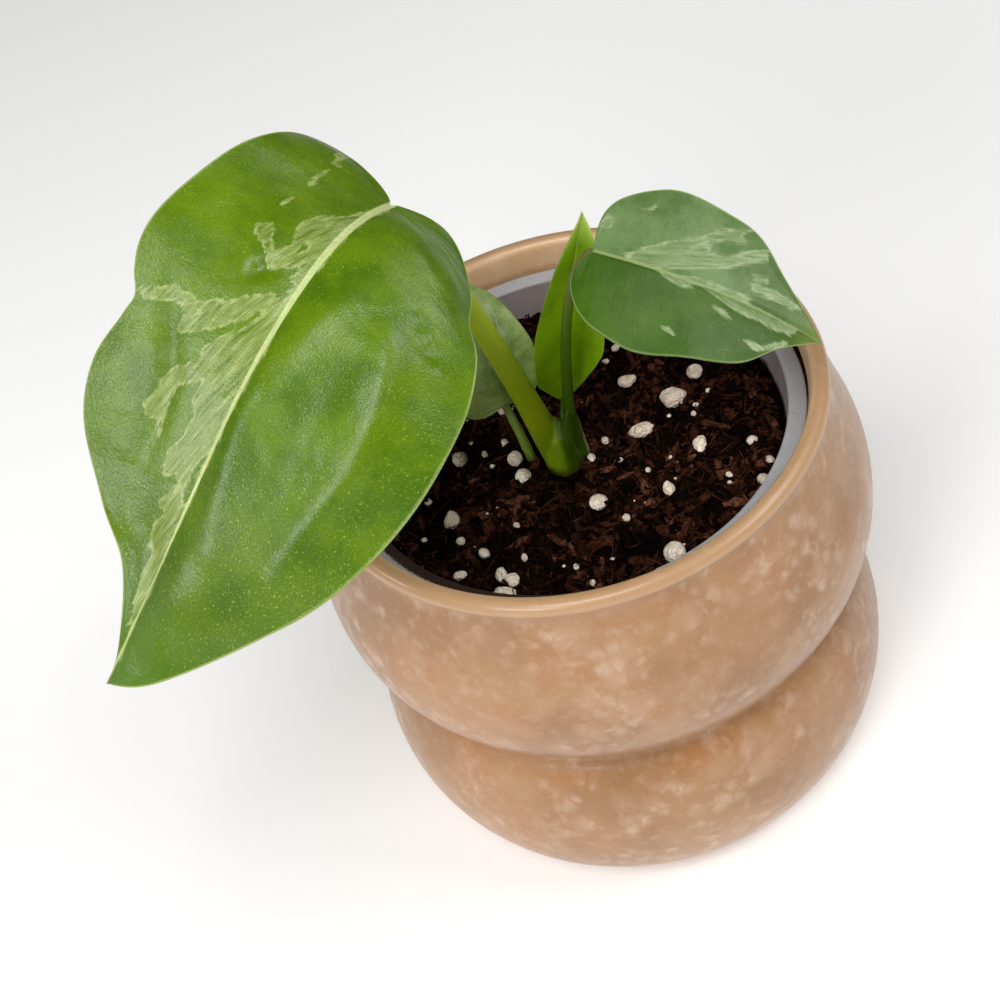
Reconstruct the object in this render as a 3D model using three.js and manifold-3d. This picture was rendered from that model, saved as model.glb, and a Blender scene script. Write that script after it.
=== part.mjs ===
// A potted juvenile aroid house plant, variegated green and cream: a two-bulge
// ceramic pot, a plastic nursery pot standing inside it, potting soil with
// perlite, a short stem, and four leaves of different ages on their stalks.
//
// Millimetres, +Z up. The origin is the centre of the ceramic pot's flat base.
// The plant's showing side faces -Y.

import * as THREE from 'three';
import { mergeVertices } from 'three/addons/utils/BufferGeometryUtils.js';
import Module from 'manifold-3d';

const wasm = await Module();
wasm.setup();

// Driving dimensions

const GAP = 0.3;                  // kept between pieces that touch
const ROUND_SEGMENTS = 48;        // facets around everything turned

// A bulge's outline is part of an ellipse: centre and reach are radii from the pot's
// axis, from and to are degrees up from its widest level, which is at height z.

const POT = {
  height: 103.2,
  baseRadius: 46,
  wall: 4.4,
  floor: 6,
  lower: { centre: 43.9, reach: 14.9, z: 24.6, rise: 25.1, from: -68, to: 58 },
  upper: { centre: 50.9, reach: 10.1, z: 71.3, rise: 20, from: -74, to: 52 },
  crease: { radius: 50.2, z: 50.2 },
  shoulder: { radius: 57.1, z: 90.8 },
  neck: { radius: 54.4, z: 98.2 },
  lip: { radius: 53, roll: 2, from: -35 },
};
const OUTER_STEPS = 8;            // facets up each bulge outside
const INNER_STEPS = 4;            // and inside

const LINER = {
  rimRadius: 49.8,
  rimPlay: 1.2,                   // between the rim and the ceramic around it
  rimTop: 96.3,
  rimInner: 45.9,
  rimThickness: 1.3,
  rimEase: 0.5,                   // chamfer of the rim's two upper edges
  skirt: 4.5,
  wall: 1,
  footRadius: 37,
  drainHoles: 6,
  drainRadius: 3,
  drainCircle: 26,
  corner: 2,                      // the slope between its floor and its wall
};

const SOIL = {
  level: 88.9,                    // mean height of the top of the soil
  relief: 0.9,
  holeDepth: 19,
};

const STEM = {
  centre: [-2.7, -3.2],
  halfWidth: 5,
  halfDepth: 4.3,
  top: 97,
  rootEnd: SOIL.level - SOIL.holeDepth + GAP,
};

const BLADE_THICKNESS = 0.7;
const KEEL_DEPTH = 0.9;           // how far the midrib stands out below a blade
const KEEL_RUN = 8;               // over which it fades in from the stalk
const KEEL_TAPER = 0.8;           // share of it lost on the way to the tip

// Each leaf: the midrib is a cubic curve from where the stalk joins to the tip.
// roll turns the blade about its midrib, in degrees, from the base to the tip.
// cup folds both halves up from the midrib, droop bends them down again, and
// lobeDroop lowers the rounded lobes behind the stalk. wave ripples the margin.
// An outline point is [along the midrib, out from it], on the left or the right
// of the heading.
const LEAVES = {
  large: {
    colour: 0x5c9410,
    midrib: [[-20.8, -8, 168.7], [-34.8, -27, 183.6], [-62, -39.2, 151], [-96.8, -50, 113.1]],
    length: 111,
    roll: [29, 20],
    cup: 0.12,
    droop: 0.007,
    lobeDroop: 0.003,
    wave: { height: 0.9, count: 4.5 },
    left: [[-3.5, 1.6], [-6.3, 8], [-2.2, 16], [5.4, 23.3], [15.6, 27.1], [25.5, 32.4], [44, 36.4],
      [60.3, 37], [78.2, 32.2], [89.7, 24.5], [104.9, 10.2]],
    right: [[-2.5, 3], [-5.5, 14], [-3, 23.5], [9.8, 25.5], [32.7, 30.7], [44, 32], [51, 30.9],
      [55.5, 28.9], [60.2, 30.2], [70.5, 32.6], [80.8, 29], [88.9, 18.1], [94, 7.5], [103.7, 1.6]],
    stations: 24,
    rows: 6,
    stalk: {
      base: [-4.6, -1.7],
      bend: [[-9, -4, 124], [-13.5, -2.5, 148]],
      radii: [2.5, 2.2, 1.6],
      stopsShort: 3.3,
    },
  },
  medium: {
    colour: 0x4f8a45,
    midrib: [[13.4, -8, 145.8], [26.7, -15.7, 142.1], [39.1, -22, 135], [49.7, -27, 124.6]],
    length: 46.6,
    roll: [-12, -14],
    cup: 0.1,
    droop: 0.006,
    lobeDroop: 0.004,
    wave: { height: 0.4, count: 3.5 },
    left: [[-0.8, 3.9], [-0.4, 9], [2, 13.2], [7, 16.7], [13.2, 17.9], [25.8, 15.9], [35.2, 8.8]],
    right: [[-1.7, 3.7], [-2.1, 7.1], [-1, 10.5], [1.6, 13.9], [5.3, 16.4], [12.7, 18], [21.9, 16],
      [28.4, 14.2], [33.9, 11.4], [39.2, 5.8]],
    stations: 20,
    rows: 5,
    stalk: {
      base: [0.2, -2.6],
      bend: [[2.2, -4, 111.6], [5.4, -6.5, 143]],
      radii: [1.6, 1.2, 1],
      stopsShort: 1.8,
    },
  },
  new: {
    colour: 0x6f9f18,
    midrib: [[0.7, 5, 98.8], [4.7, 4.9, 114.4], [8, 6.4, 129.3], [13.9, 9, 141.9]],
    length: 45.4,
    roll: [-67, -67],
    cup: 0.95,
    droop: 0,
    lobeDroop: 0,
    wave: { height: 0.2, count: 2 },
    left: [[0.1, 1.5], [3.5, 4.5], [7.2, 6.1], [14.8, 7], [21.3, 7.3], [32.5, 5.5], [41.4, 1.5]],
    right: [[0.6, 1.5], [3.4, 4.4], [8.9, 6.2], [13.8, 7.2], [18.1, 7], [29.6, 5.3], [40.6, 2.6]],
    stations: 16,
    rows: 4,
    stalk: {
      base: [-1.9, -1, 89],
      bend: [-0.3, 3.8, 94.6],
      radii: [1.7, 0.8],
      stopsShort: 1.2,
    },
  },
  small: {
    colour: 0x6f9a4a,
    midrib: [[-11.9, 7, 99.8], [-13.5, 10.3, 111], [-16.4, 17.7, 119.9], [-22, 29, 122.1]],
    length: 34.7,
    roll: [0, 0],
    cup: 0.1,
    droop: 0.006,
    lobeDroop: 0,
    wave: { height: 0.3, count: 3 },
    left: [[-0.2, 3.8], [0.5, 6.4], [2.5, 9.2], [7.3, 11.8], [14.9, 12.3], [22.7, 10.3], [29.6, 6.1]],
    right: [[-1.4, 4.5], [-0.5, 7.9], [1.9, 9.6], [5.7, 10.7], [10.8, 11.4], [20.9, 9.7], [30.6, 3.9]],
    stations: 14,
    rows: 4,
    stalk: {
      base: [-9.6, 0.1],
      bend: [[-9.6, 1.2, 92.5], [-11.3, 6, 96.3]],
      radii: [1.2, 1, 0.8],
      stopsShort: 0.7,
    },
  },
};

const plant = new THREE.Group();

// General helpers

function add(name, geometry, colour, roughness) {
  const material = new THREE.MeshStandardMaterial({ color: colour, roughness, metalness: 0 });
  const mesh = new THREE.Mesh(geometry, material);
  mesh.name = name;
  plant.add(mesh);
}

function indexed(positions, faces) {
  const geometry = new THREE.BufferGeometry();
  geometry.setAttribute('position', new THREE.Float32BufferAttribute(positions, 3));
  geometry.setIndex(faces);
  return geometry;
}

function toManifold(geometry) {
  const bare = geometry.clone();
  bare.deleteAttribute('normal');
  bare.deleteAttribute('uv');
  const merged = mergeVertices(bare, 1e-4);
  return new wasm.Manifold(new wasm.Mesh({
    numProp: 3,
    vertProperties: Float32Array.from(merged.attributes.position.array),
    triVerts: Uint32Array.from(merged.index.array),
  }));
}

function fromManifold(manifold) {
  const mesh = manifold.getMesh();
  return indexed(Array.from(mesh.vertProperties), Array.from(mesh.triVerts));
}

// A repeatable random number generator, from 0 to 1.
function seeded(seed) {
  let state = seed;
  return () => {
    state = (state * 1664525 + 1013904223) % 4294967296;
    return state / 4294967296;
  };
}

// A solid of revolution about Z from a profile of [radius, height] points.
function turned(profile) {
  const points = profile.map(([radius, height]) => new THREE.Vector2(radius, height));
  return new THREE.LatheGeometry(points, ROUND_SEGMENTS).rotateX(Math.PI / 2);
}

// Points of a bulge's outline, as [radius, height].
function bulge({ centre, reach, z, rise, from, to }, steps) {
  const points = [];
  for (let step = 0; step <= steps; step += 1) {
    const angle = THREE.MathUtils.degToRad(from + (to - from) * step / steps);
    points.push([centre + reach * Math.cos(angle), z + rise * Math.sin(angle)]);
  }
  return points;
}

// Outer ceramic pot

function outerPot() {
  const { lip, neck, shoulder, crease, wall, lower, upper } = POT;
  const lipZ = POT.height - lip.roll;
  const outside = [
    [0, 0],
    [POT.baseRadius, 0],
    ...bulge(lower, OUTER_STEPS),
    [crease.radius, crease.z],
    ...bulge(upper, OUTER_STEPS),
    [shoulder.radius, shoulder.z],
    [neck.radius, neck.z],
    ...bulge({ ...lip, centre: lip.radius, reach: lip.roll, z: lipZ, rise: lip.roll, to: 180 }, OUTER_STEPS),
  ];
  const innerUpper = { ...upper, reach: upper.reach - wall, from: 50, to: -50 };
  const innerLower = { ...lower, reach: lower.reach - wall, rise: lower.rise - wall, from: 40, to: -40 };
  const inside = [
    [LINER.rimRadius + LINER.rimPlay, neck.z],
    ...bulge(innerUpper, INNER_STEPS),
    [crease.radius - wall, crease.z],
    ...bulge(innerLower, INNER_STEPS),
    [LINER.footRadius + 2, POT.floor],
    [0, POT.floor],
  ];
  return turned([...outside, ...inside]);
}

// Plastic nursery pot: rolled rim, tapered wall, drain holes in the floor

const linerFoot = POT.floor + GAP;
const linerShoulder = LINER.rimTop - LINER.rimThickness;
const linerInnerFoot = linerFoot + LINER.wall + LINER.corner;
const linerInnerTop = LINER.rimTop - LINER.rimEase;

// Radius of the tapered inside at a height above its corner.
function linerInnerRadius(z) {
  const foot = LINER.footRadius - LINER.wall;
  const share = (z - linerInnerFoot) / (linerInnerTop - linerInnerFoot);
  return foot + (LINER.rimInner - foot) * share;
}

function nurseryPot() {
  const { rimRadius, rimTop, rimInner, rimThickness, rimEase, skirt, wall, footRadius, corner } = LINER;
  const body = toManifold(turned([
    [0, linerFoot],
    [footRadius - corner, linerFoot],
    [footRadius, linerFoot + corner],
    [rimInner + wall, linerShoulder],
    [rimRadius - rimThickness, linerShoulder],
    [rimRadius - rimThickness, rimTop - skirt],
    [rimRadius, rimTop - skirt],
    [rimRadius, rimTop - rimEase],
    [rimRadius - rimEase, rimTop],
    [rimInner + rimEase, rimTop],
    [rimInner, linerInnerTop],
    [footRadius - wall, linerInnerFoot],
    [footRadius - corner - wall, linerFoot + wall],
    [0, linerFoot + wall],
  ]));
  let result = body;
  for (let hole = 0; hole < LINER.drainHoles; hole += 1) {
    const angle = 2 * Math.PI * hole / LINER.drainHoles;
    const cutter = new THREE.CylinderGeometry(LINER.drainRadius, LINER.drainRadius, 6, 16)
      .rotateX(Math.PI / 2)
      .translate(LINER.drainCircle * Math.cos(angle), LINER.drainCircle * Math.sin(angle), linerFoot);
    result = result.subtract(toManifold(cutter));
  }
  return fromManifold(result);
}

// Potting soil, with perlite granules fused into its top

// Uneven but repeatable height of the soil's top, about its mean level.
function soilHeight(x, y) {
  const coarse = Math.sin(0.16 * x + 1.7) * Math.cos(0.14 * y - 0.6);
  const fine = Math.sin(0.34 * x - 0.2 * y) * Math.cos(0.3 * y + 0.17 * x + 1.1);
  return SOIL.level + SOIL.relief * (0.6 * coarse + 0.5 * fine);
}

// [x, y, radius] of the granules that lie in plain sight; smaller ones are drawn at random.
const PERLITE = [
  [23.4, 5.1, 3], [14.5, -1.7, 2.1], [25.2, -10, 1.9], [16.3, -19.9, 1.3], [13.5, -36.5, 2.6],
  [-12.4, -5, 1.9], [-13.6, 1.9, 1.5], [-29, -11.1, 1.7], [-20.9, -30.9, 2], [-24.2, -33.8, 1.6],
  [-20.2, -35.6, 1.6], [-24.5, 6.3, 1.5], [15, 14.2, 1.3], [29.6, 11.9, 1.7], [2, -17, 0.9],
  [35.8, -22.4, 1], [14.6, 23.7, 1.2], [32.2, 0.5, 1],
];
const LOOSE_GRANULES = { count: 16, spread: 40, smallest: 0.9, range: 0.8, spacing: 2, offStem: 11 };
const GRANULE_SHAPE = [1, 0.85, 0.9];

function perliteGranules() {
  const random = seeded(11);
  const granules = [...PERLITE];
  const { count, spread, smallest, range, spacing, offStem } = LOOSE_GRANULES;
  while (granules.length < PERLITE.length + count) {
    const angle = 2 * Math.PI * random();
    const distance = spread * Math.sqrt(random());
    const [x, y] = [distance * Math.cos(angle), distance * Math.sin(angle)];
    const radius = smallest + range * random();
    const apart = granules.every(([gx, gy, gr]) => Math.hypot(gx - x, gy - y) > gr + radius + spacing);
    if (apart && Math.hypot(x - STEM.centre[0], y - STEM.centre[1]) > offStem) {
      granules.push([x, y, radius]);
    }
  }
  return granules;
}

function granuleGeometry([x, y, radius], turn) {
  return new THREE.IcosahedronGeometry(radius, 0)
    .scale(...GRANULE_SHAPE)
    .rotateZ(turn)
    .translate(x, y, soilHeight(x, y));
}

function soilBody() {
  const floor = linerFoot + LINER.wall + GAP;
  const rings = [
    { radius: linerInnerRadius(floor) - LINER.corner - GAP, z: () => floor },
    { radius: linerInnerRadius(floor + LINER.corner) - GAP, z: () => floor + LINER.corner },
  ];
  const edge = linerInnerRadius(SOIL.level - SOIL.relief) - GAP;
  const steps = 8;
  for (let step = steps; step >= 1; step -= 1) {
    rings.push({ radius: edge * step / steps, z: soilHeight });
  }
  const positions = [0, 0, floor];
  rings.forEach(({ radius, z }) => {
    for (let turn = 0; turn < ROUND_SEGMENTS; turn += 1) {
      const angle = 2 * Math.PI * turn / ROUND_SEGMENTS;
      const [x, y] = [radius * Math.cos(angle), radius * Math.sin(angle)];
      positions.push(x, y, z(x, y));
    }
  });
  positions.push(0, 0, soilHeight(0, 0));
  const last = positions.length / 3 - 1;
  const at = (ring, turn) => 1 + ring * ROUND_SEGMENTS + turn % ROUND_SEGMENTS;
  const faces = [];
  for (let turn = 0; turn < ROUND_SEGMENTS; turn += 1) {
    faces.push(0, at(0, turn + 1), at(0, turn));
    for (let ring = 0; ring < rings.length - 1; ring += 1) {
      faces.push(at(ring, turn), at(ring, turn + 1), at(ring + 1, turn + 1));
      faces.push(at(ring, turn), at(ring + 1, turn + 1), at(ring + 1, turn));
    }
    faces.push(at(rings.length - 1, turn), at(rings.length - 1, turn + 1), last);
  }
  return indexed(positions, faces);
}

// A plain upright hole in the soil for a stem of the given half-sizes.
function soilHole([x, y], halfWidth, halfDepth, depth, sides) {
  const above = 8;
  return new THREE.CylinderGeometry(1, 1, depth + above, sides)
    .rotateX(Math.PI / 2)
    .scale(halfWidth + GAP, halfDepth + GAP, 1)
    .translate(x, y, SOIL.level + (above - depth) / 2);
}

const SMALL_STALK_DEPTH = 12;     // in the soil
const STALK_SEAT = 1.5;           // straight foot of a stalk that stands on the stem
const STEM_SIDES = 20;
const STALK_SIDES = 8;

function pottingSoil() {
  const random = seeded(5);
  let soil = toManifold(soilBody());
  perliteGranules().forEach((granule) => {
    soil = soil.add(toManifold(granuleGeometry(granule, 2 * Math.PI * random())));
  });
  const stemHole = soilHole(STEM.centre, STEM.halfWidth, STEM.halfDepth, SOIL.holeDepth, STEM_SIDES);
  const { base, radii } = LEAVES.small.stalk;
  const stalkHole = soilHole(base, radii[0], radii[0], SMALL_STALK_DEPTH, 2 * STALK_SIDES);
  return fromManifold(soil.subtract(toManifold(stemHole)).subtract(toManifold(stalkHole)));
}

// Swept stems and stalks

// A closed round-ended sweep through centre points, with a half-width and a half-depth at each.
function sweep(centres, halfWidths, halfDepths, sides) {
  const positions = [];
  const faces = [];
  const right = new THREE.Vector3(1, 0, 0);
  centres.forEach((centre, ring) => {
    const before = centres[Math.max(ring - 1, 0)];
    const after = centres[Math.min(ring + 1, centres.length - 1)];
    const heading = after.clone().sub(before).normalize();
    const depth = heading.clone().cross(right).normalize();
    const width = depth.clone().cross(heading);
    for (let side = 0; side < sides; side += 1) {
      const angle = 2 * Math.PI * side / sides;
      const point = centre.clone()
        .addScaledVector(width, halfWidths[ring] * Math.cos(angle))
        .addScaledVector(depth, halfDepths[ring] * Math.sin(angle));
      positions.push(point.x, point.y, point.z);
    }
  });
  const first = positions.length / 3;
  const last = first + 1;
  [centres[0], centres[centres.length - 1]].forEach((end) => positions.push(end.x, end.y, end.z));
  const at = (ring, side) => ring * sides + side % sides;
  for (let side = 0; side < sides; side += 1) {
    faces.push(first, at(0, side + 1), at(0, side));
    for (let ring = 0; ring < centres.length - 1; ring += 1) {
      faces.push(at(ring, side), at(ring, side + 1), at(ring + 1, side + 1));
      faces.push(at(ring, side), at(ring + 1, side + 1), at(ring + 1, side));
    }
    faces.push(last, at(centres.length - 1, side), at(centres.length - 1, side + 1));
  }
  return indexed(positions, faces);
}

// A value that runs smoothly through the given ones from share 0 to share 1.
function valueAt(values, share) {
  const place = share * (values.length - 1);
  const index = Math.min(Math.floor(place), values.length - 2);
  return THREE.MathUtils.lerp(values[index], values[index + 1], place - index);
}

function stemColumn() {
  const [x, y] = STEM.centre;
  const lean = 0.075;             // backwards, for each millimetre above the soil
  const levels = [                // height and the share of the full section there
    [STEM.rootEnd, 0.55], [STEM.rootEnd + 2, 0.85], [STEM.rootEnd + 5, 1],
    [SOIL.level, 1], [SOIL.level + 4, 0.95], [STEM.top, 0.9],
  ];
  return sweep(
    levels.map(([z]) => new THREE.Vector3(x, y + lean * Math.max(0, z - SOIL.level), z)),
    levels.map(([, share]) => STEM.halfWidth * share),
    levels.map(([, share]) => STEM.halfDepth * share),
    STEM_SIDES,
  );
}

// The youngest leaf comes out of the stem itself, so its short stalk is part of it.
function stemWithNewStalk() {
  const { base, bend, radii, stopsShort } = LEAVES.new.stalk;
  const end = leafBase(LEAVES.new).addScaledVector(leafHeading(LEAVES.new), -stopsShort);
  const curve = new THREE.QuadraticBezierCurve3(new THREE.Vector3(...base), new THREE.Vector3(...bend), end);
  const rings = 6;
  const centres = curve.getSpacedPoints(rings);
  const thickness = centres.map((_, ring) => valueAt(radii, ring / rings));
  const stalk = sweep(centres, thickness, thickness, STALK_SIDES);
  return fromManifold(toManifold(stemColumn()).add(toManifold(stalk)));
}

function leafCurve(leaf) {
  return new THREE.CubicBezierCurve3(...leaf.midrib.map((point) => new THREE.Vector3(...point)));
}

function leafBase(leaf) {
  return new THREE.Vector3(...leaf.midrib[0]);
}

function leafHeading(leaf) {
  return leafCurve(leaf).getTangent(0);
}

// A stalk starts with a straight upright foot, in its hole in the soil or seated on the
// stem, and curves up from there to just short of the blade that it carries.
function stalkGeometry(leaf, baseHeight, foot) {
  const { base, bend, radii, stopsShort } = leaf.stalk;
  const start = new THREE.Vector3(base[0], base[1], baseHeight);
  const blade = leafBase(leaf);
  const arrival = blade.clone().sub(new THREE.Vector3(...bend[1])).normalize();
  const end = blade.addScaledVector(arrival, -stopsShort);
  const curve = new THREE.CubicBezierCurve3(
    start,
    new THREE.Vector3(...bend[0]),
    new THREE.Vector3(...bend[1]),
    end,
  );
  const rings = 14;
  const centres = curve.getSpacedPoints(rings);
  const thickness = centres.map((_, ring) => valueAt(radii, ring / rings));
  centres.unshift(start.clone().setZ(baseHeight - foot));
  thickness.unshift(radii[0]);
  return sweep(centres, thickness, thickness, STALK_SIDES);
}

// Leaf blades

// The point and the upward normal of a blade at a place along and across its midrib.
function bladePlace(leaf, curve, distance, across) {
  const share = distance / leaf.length;
  const inside = THREE.MathUtils.clamp(share, 0, 1);
  const heading = curve.getTangent(inside);
  const level = heading.clone().cross(new THREE.Vector3(0, 0, 1)).normalize();
  const roll = THREE.MathUtils.degToRad(THREE.MathUtils.lerp(leaf.roll[0], leaf.roll[1], inside));
  const side = level.applyAxisAngle(heading, -roll);
  const normal = side.clone().cross(heading);
  const behind = Math.min(distance, 0);
  const lift = leaf.cup * Math.abs(across) - leaf.droop * across * across
    - leaf.lobeDroop * behind * behind;
  const point = curve.getPoint(inside)
    .addScaledVector(heading, (share - inside) * leaf.length)
    .addScaledVector(side, across)
    .addScaledVector(normal, lift);
  return { point, normal };
}

// One half of a blade as a grid: stations follow the side veins from the midrib to
// the margin, which they meet further out than they leave the midrib.
const VEINLESS_SHARE = 0.22;      // of the margin, round the lobe, fed from the stalk's end
const VEIN_CROWDING = 1.05;       // draws the veins' roots a little towards the base

function bladeHalf(leaf, outline, sign) {
  const margin = new THREE.SplineCurve([
    new THREE.Vector2(0, 0),
    ...outline.map(([distance, out]) => new THREE.Vector2(distance, sign * out)),
    new THREE.Vector2(leaf.length, 0),
  ]);
  const curve = leafCurve(leaf);
  const rim = margin.getSpacedPoints(leaf.stations);
  const grid = [];
  rim.forEach((edge, station) => {
    const w = station / leaf.stations;
    const veined = Math.max(0, (w - VEINLESS_SHARE) / (1 - VEINLESS_SHARE));
    const root = leaf.length * veined ** VEIN_CROWDING;
    const column = [];
    for (let row = 0; row <= leaf.rows; row += 1) {
      const t = row / leaf.rows;
      const distance = THREE.MathUtils.lerp(root, edge.x, t);
      const across = edge.y * t;
      const place = bladePlace(leaf, curve, distance, across);
      const taper = Math.sin(Math.PI * w);
      const ripple = leaf.wave.height * t * t * taper * Math.sin(2 * Math.PI * leaf.wave.count * w + sign);
      place.point.addScaledVector(place.normal, ripple);
      place.keel = row === 0 ? KEEL_DEPTH * Math.min(1, root / KEEL_RUN) * (1 - KEEL_TAPER * w) : 0;
      column.push(place);
    }
    grid.push(column);
  });
  return grid;
}

// Both faces carry the same grid of triangles, and a narrow edge joins them.
function bladeGeometry(leaf) {
  const positions = [];
  const faces = [];
  [[leaf.left, -1], [leaf.right, 1]].forEach(([outline, sign]) => {
    const grid = bladeHalf(leaf, outline, sign);
    const start = positions.length / 3;
    const { rows, stations } = leaf;
    grid.forEach((column) => column.forEach(({ point, normal, keel }) => {
      const top = point.clone().addScaledVector(normal, BLADE_THICKNESS / 2);
      const bottom = point.clone().addScaledVector(normal, -BLADE_THICKNESS / 2 - keel);
      positions.push(top.x, top.y, top.z, bottom.x, bottom.y, bottom.z);
    }));
    const at = (station, row, face) => start + 2 * (station * (rows + 1) + row) + face;
    const triangle = (a, b, c) => (sign > 0 ? faces.push(a, b, c) : faces.push(a, c, b));
    for (let station = 0; station < stations; station += 1) {
      for (let row = 0; row < rows; row += 1) {
        const [a, b] = [[station, row], [station + 1, row]];
        const [c, d] = [[station + 1, row + 1], [station, row + 1]];
        triangle(at(...a, 0), at(...d, 0), at(...c, 0));
        triangle(at(...a, 0), at(...c, 0), at(...b, 0));
        triangle(at(...a, 1), at(...c, 1), at(...d, 1));
        triangle(at(...a, 1), at(...b, 1), at(...c, 1));
      }
      triangle(at(station, rows, 0), at(station, rows, 1), at(station + 1, rows, 1));
      triangle(at(station, rows, 0), at(station + 1, rows, 1), at(station + 1, rows, 0));
    }
  });
  return withoutSlivers(mergeVertices(indexed(positions, faces), 1e-3));
}

// Drops the triangles that have no area, where a grid closes to a point.
function withoutSlivers(geometry) {
  const index = Array.from(geometry.index.array);
  const kept = [];
  for (let first = 0; first < index.length; first += 3) {
    const [a, b, c] = index.slice(first, first + 3);
    if (a !== b && b !== c && c !== a) {
      kept.push(a, b, c);
    }
  }
  geometry.setIndex(kept);
  return geometry;
}

// Assembly

add('outer_pot', outerPot(), 0xcda57d, 0.35);
add('nursery_pot', nurseryPot(), 0x8f8c8a, 0.55);
add('potting_soil', pottingSoil(), 0x2a1810, 0.95);
add('stem_base', stemWithNewStalk(), 0x64780f, 0.45);
const seatTop = STEM.top + GAP + STALK_SEAT;
const soilTop = SOIL.level + SOIL.relief;
add('large_leaf_stalk', stalkGeometry(LEAVES.large, seatTop, STALK_SEAT), 0x64730f, 0.4);
add('medium_leaf_stalk', stalkGeometry(LEAVES.medium, seatTop, STALK_SEAT), 0x324f05, 0.4);
add('small_leaf_stalk', stalkGeometry(LEAVES.small, soilTop, SMALL_STALK_DEPTH), 0x7c8a4a, 0.45);
Object.entries(LEAVES).forEach(([name, leaf]) => {
  add(`${name}_leaf_blade`, bladeGeometry(leaf), leaf.colour, 0.35);
});

export default plant;
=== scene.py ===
# The looks of a potted swiss cheese plant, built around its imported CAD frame.
# Lengths are in millimetres until piece() makes a mesh of them, in metres. +Z is up,
# and the side that the camera looks at faces -Y.
import math

import bmesh
import bpy
import numpy as np
from mathutils import Matrix, noise


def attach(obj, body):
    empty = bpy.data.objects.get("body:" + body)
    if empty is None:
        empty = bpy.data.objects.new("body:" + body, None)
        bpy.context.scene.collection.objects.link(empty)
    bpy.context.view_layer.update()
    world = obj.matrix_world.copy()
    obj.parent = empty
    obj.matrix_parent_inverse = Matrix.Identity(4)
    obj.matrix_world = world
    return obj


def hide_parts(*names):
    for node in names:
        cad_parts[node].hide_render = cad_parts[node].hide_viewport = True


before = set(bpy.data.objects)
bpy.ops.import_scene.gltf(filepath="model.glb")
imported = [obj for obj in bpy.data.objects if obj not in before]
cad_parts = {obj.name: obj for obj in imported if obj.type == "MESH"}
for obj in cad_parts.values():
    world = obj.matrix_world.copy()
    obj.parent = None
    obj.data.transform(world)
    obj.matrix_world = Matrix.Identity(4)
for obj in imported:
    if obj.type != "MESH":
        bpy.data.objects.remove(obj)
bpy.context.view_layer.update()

MM = 0.001
RUN_SAMPLES = 40


# General shape helpers


def unit(v):
    v = np.asarray(v, float)
    return v / np.linalg.norm(v, axis=-1, keepdims=True)


def smoothstep(low, high, x):
    t = np.clip((np.asarray(x, float) - low) / (high - low), 0, 1)
    return t * t * (3 - 2 * t)


def bezier(points, t):
    p = np.array(points, float)
    t = np.asarray(t, float)[..., None]
    s = 1 - t
    return s**3 * p[0] + 3 * s * s * t * p[1] + 3 * s * t * t * p[2] + t**3 * p[3]


def bezier_heading(points, t):
    p = np.array(points, float)
    t = np.asarray(t, float)[..., None]
    s = 1 - t
    return unit(s * s * (p[1] - p[0]) + 2 * s * t * (p[2] - p[1]) + t * t * (p[3] - p[2]))


def smooth_outline(points, count):
    """Evenly spaced samples of the smooth curve that passes through all the points."""
    p = np.array(points, float)
    last = len(p) - 1
    t = np.linspace(0, 1, RUN_SAMPLES, endpoint=False)[:, None]
    runs = []
    for i in range(last):
        before, start, end, after = p[max(i - 1, 0)], p[i], p[i + 1], p[min(i + 2, last)]
        leave, arrive = (end - before) / 2, (after - start) / 2
        runs.append(
            (2 * start - 2 * end + leave + arrive) * t**3
            + (3 * end - 3 * start - 2 * leave - arrive) * t * t
            + leave * t
            + start
        )
    samples = np.vstack(runs + [p[last:]])
    lengths = np.r_[0, np.cumsum(np.linalg.norm(np.diff(samples, axis=0), axis=1))]
    wanted = np.linspace(0, lengths[-1], count)
    return np.stack([np.interp(wanted, lengths, samples[:, k]) for k in (0, 1)], axis=1)


def fractal(points, scale, octaves=3):
    """Smooth repeatable noise from about -1 to 1 at each point."""
    return np.array([
        noise.fractal([float(c) * scale for c in p], 1.0, 2.0, octaves) for p in points
    ])


def grid_faces(rows, columns, start=0, closed=False):
    """Quads over a grid of points, joined round from the last column to the first if closed."""
    faces = []
    for r in range(rows - 1):
        for c in range(columns if closed else columns - 1):
            d = (c + 1) % columns
            a, b = start + r * columns, start + (r + 1) * columns
            faces.append((a + c, a + d, b + d, b + c))
    return faces


def tube_faces(rows, columns):
    """Quads round a tube, then a fan at each end to one of the two points after its rows."""
    first, last, top = rows * columns, rows * columns + 1, (rows - 1) * columns
    faces = grid_faces(rows, columns, closed=True)
    for k in range(columns):
        n = (k + 1) % columns
        faces += [(first, n, k), (last, top + k, top + n)]
    return faces


def circle(count):
    """[x, y] places evenly round a circle of radius 1."""
    turn = np.linspace(0, 2 * np.pi, count, endpoint=False)
    return np.stack([np.cos(turn), np.sin(turn)], axis=1)


def piece(name, vertices, faces, material, slot, node=None, smooth=True, attributes=None):
    """A mesh, given in millimetres, that rides on the part and may take a node's place."""
    mesh = bpy.data.meshes.new(name)
    mesh.from_pydata((np.asarray(vertices, float) * MM).tolist(), [], [tuple(f) for f in faces])
    for key, values in (attributes or {}).items():
        values = np.asarray(values, np.float32)
        kind = "FLOAT_VECTOR" if values.ndim == 2 else "FLOAT"
        field = "vector" if values.ndim == 2 else "value"
        layer = mesh.attributes.new(key, kind, "POINT")
        layer.data.foreach_set(field, values.ravel())
    mesh.polygons.foreach_set("use_smooth", [smooth] * len(mesh.polygons))
    mesh.materials.append(material)
    mesh.update()
    obj = bpy.data.objects.new(name, mesh)
    bpy.context.scene.collection.objects.link(obj)
    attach(obj, "root")
    if node:
        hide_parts(node)
    return obj


# Material helpers


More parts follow.
